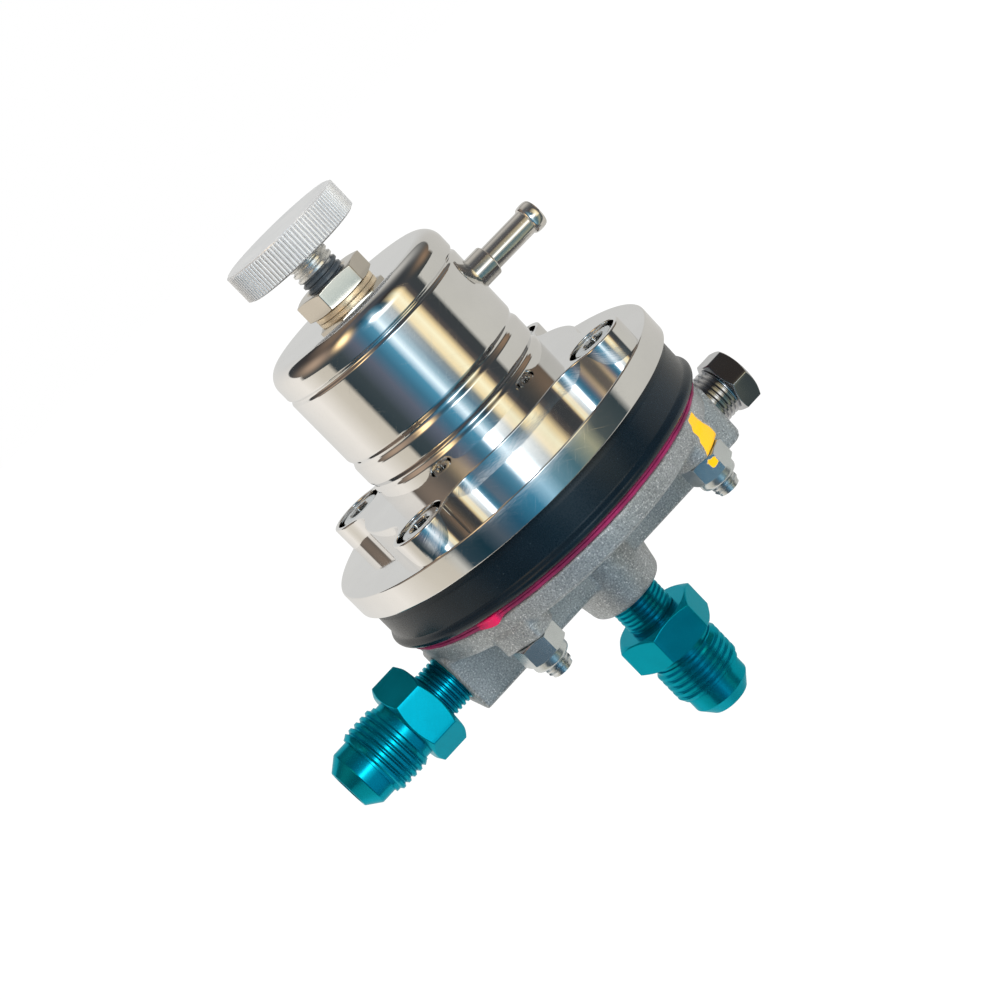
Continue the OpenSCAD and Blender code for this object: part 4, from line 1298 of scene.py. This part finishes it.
def diaphragmRim(shape):
    bm = bmesh.new()
    low, high, split, half = shape.low, shape.high, shape.split, shape.splitHalf
    innerR = shape.centreR + shape.room

    def drip(angle):
        apart = (angle - shape.dripTurn + math.pi) % fullTurn - math.pi
        width = shape.dripLeft if apart < 0 else shape.dripRight
        return math.exp(-(apart / width) ** 2)

    def edge(angle, layer):
        spot = Vector((math.cos(angle), math.sin(angle), layer)) * shape.waveR / shape.waveScale
        wave = shape.wave * (noise.noise(spot) - 0.6)
        return shape.edgeR + wave + shape.dripOut * drip(angle)

    def ring(layer, inset, height, share=0):
        # inside a layer's edge, and lowered by a share of the drip
        sink = share * shape.dripDrop
        return (lambda a: edge(a, layer) - inset), (lambda a: height - sink * drip(a))

    loftRings(bm, [
        (innerR, low),
        (shape.flatR, low),
        ring(0, 0.28, low, 0.7),
        ring(0, 0.06, low + 0.12, 1),
        ring(0, 0, low + 0.34, 0.6),
        ring(0, 0.04, split - half),
        (lambda a: edge(a, 0) - shape.groove * (1 - drip(a)), split),
        ring(1, 0.04, split + half),
        ring(1, 0, low + (high - low) * 0.7),
        ring(1, 0.12, high - 0.1),
        ring(1, 0.4, high),
        (innerR, high),
        (innerR, low),
    ], evenAngles(shape.points))
    finishPiece("diaphragmRim", bm, "diaphragm", "diaphragmRubber", 50)


def diaphragmCentre(shape):
    bm = bmesh.new()
    hole, outer, low, high = shape.holeR, shape.centreR, shape.low, shape.high
    outline = [(hole, low), (outer, low), (outer, high), (hole, high), (hole, low)]
    spunOutline(bm, outline, shape.centrePoints)
    finishPiece("diaphragmCentre", bm, "diaphragm", "diaphragmRubber", 50, "valve")


diaphragmRim(named(sheetShape))
diaphragmCentre(named(sheetShape))
print("ring and diaphragm done")

# cast base: the frame's own shape, its corners softened as a casting's are
castingShape = {"voxel": 0.42, "smoothing": 6, "strength": 0.5}


def baseCasting(shape):
    piece = finishPiece("baseCasting", nodeMesh("base_casting"), "base_casting", "castAluminium", 180)
    remesh = piece.modifiers.new("even", "REMESH")
    remesh.mode = "VOXEL"
    remesh.voxel_size = shape.voxel * millimetre
    remesh.use_smooth_shade = True
    soften = piece.modifiers.new("soften", "SMOOTH")
    soften.iterations = shape.smoothing
    soften.factor = shape.strength
    settleModifiers(piece)
    print("base casting faces", len(piece.data.polygons))


baseCasting(named(castingShape))

# spring, cut at its middle into an upper half and a lower half
springShape = {"low": 46.9, "middle": 60.95, "high": 75.0, "seatTravel": 5.06, "valveTravel": 1.26}


def springHalf(shape, name, end):
    bm = nodeMesh("main_spring")
    lower = end < shape.middle
    bmesh.ops.bisect_plane(bm, geom=allOf(bm), plane_co=(0, 0, shape.middle), plane_no=(0, 0, 1),
                           clear_outer=lower, clear_inner=not lower)
    bmesh.ops.holes_fill(bm, edges=[e for e in bm.edges if e.is_boundary])
    piece = finishPiece(name, bm, "main_spring", "springSteel", 40)
    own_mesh(piece)


spring = named(springShape)
springHalf(spring, "springUpper", spring.high)
springHalf(spring, "springLower", spring.low)
print("spring done")

# pieces inside the body keep the frame's shape
innerFinishes = {
    "thrust_ball": "groundSteel", "upper_spring_seat": "groundSteel",
    "upper_diaphragm_plate": "zincSteel", "lower_diaphragm_plate": "zincSteel", "valve_stem": "groundSteel",
    "stem_nut": "zincSteel", "valve_pad": "sealRubber", "valve_seat": "turnedBrass",
}
for node, finish in innerFinishes.items():
    mesh = nodes[node].data
    mesh.materials.clear()
    mesh.materials.append(finishes[finish])
print("inner pieces coloured")
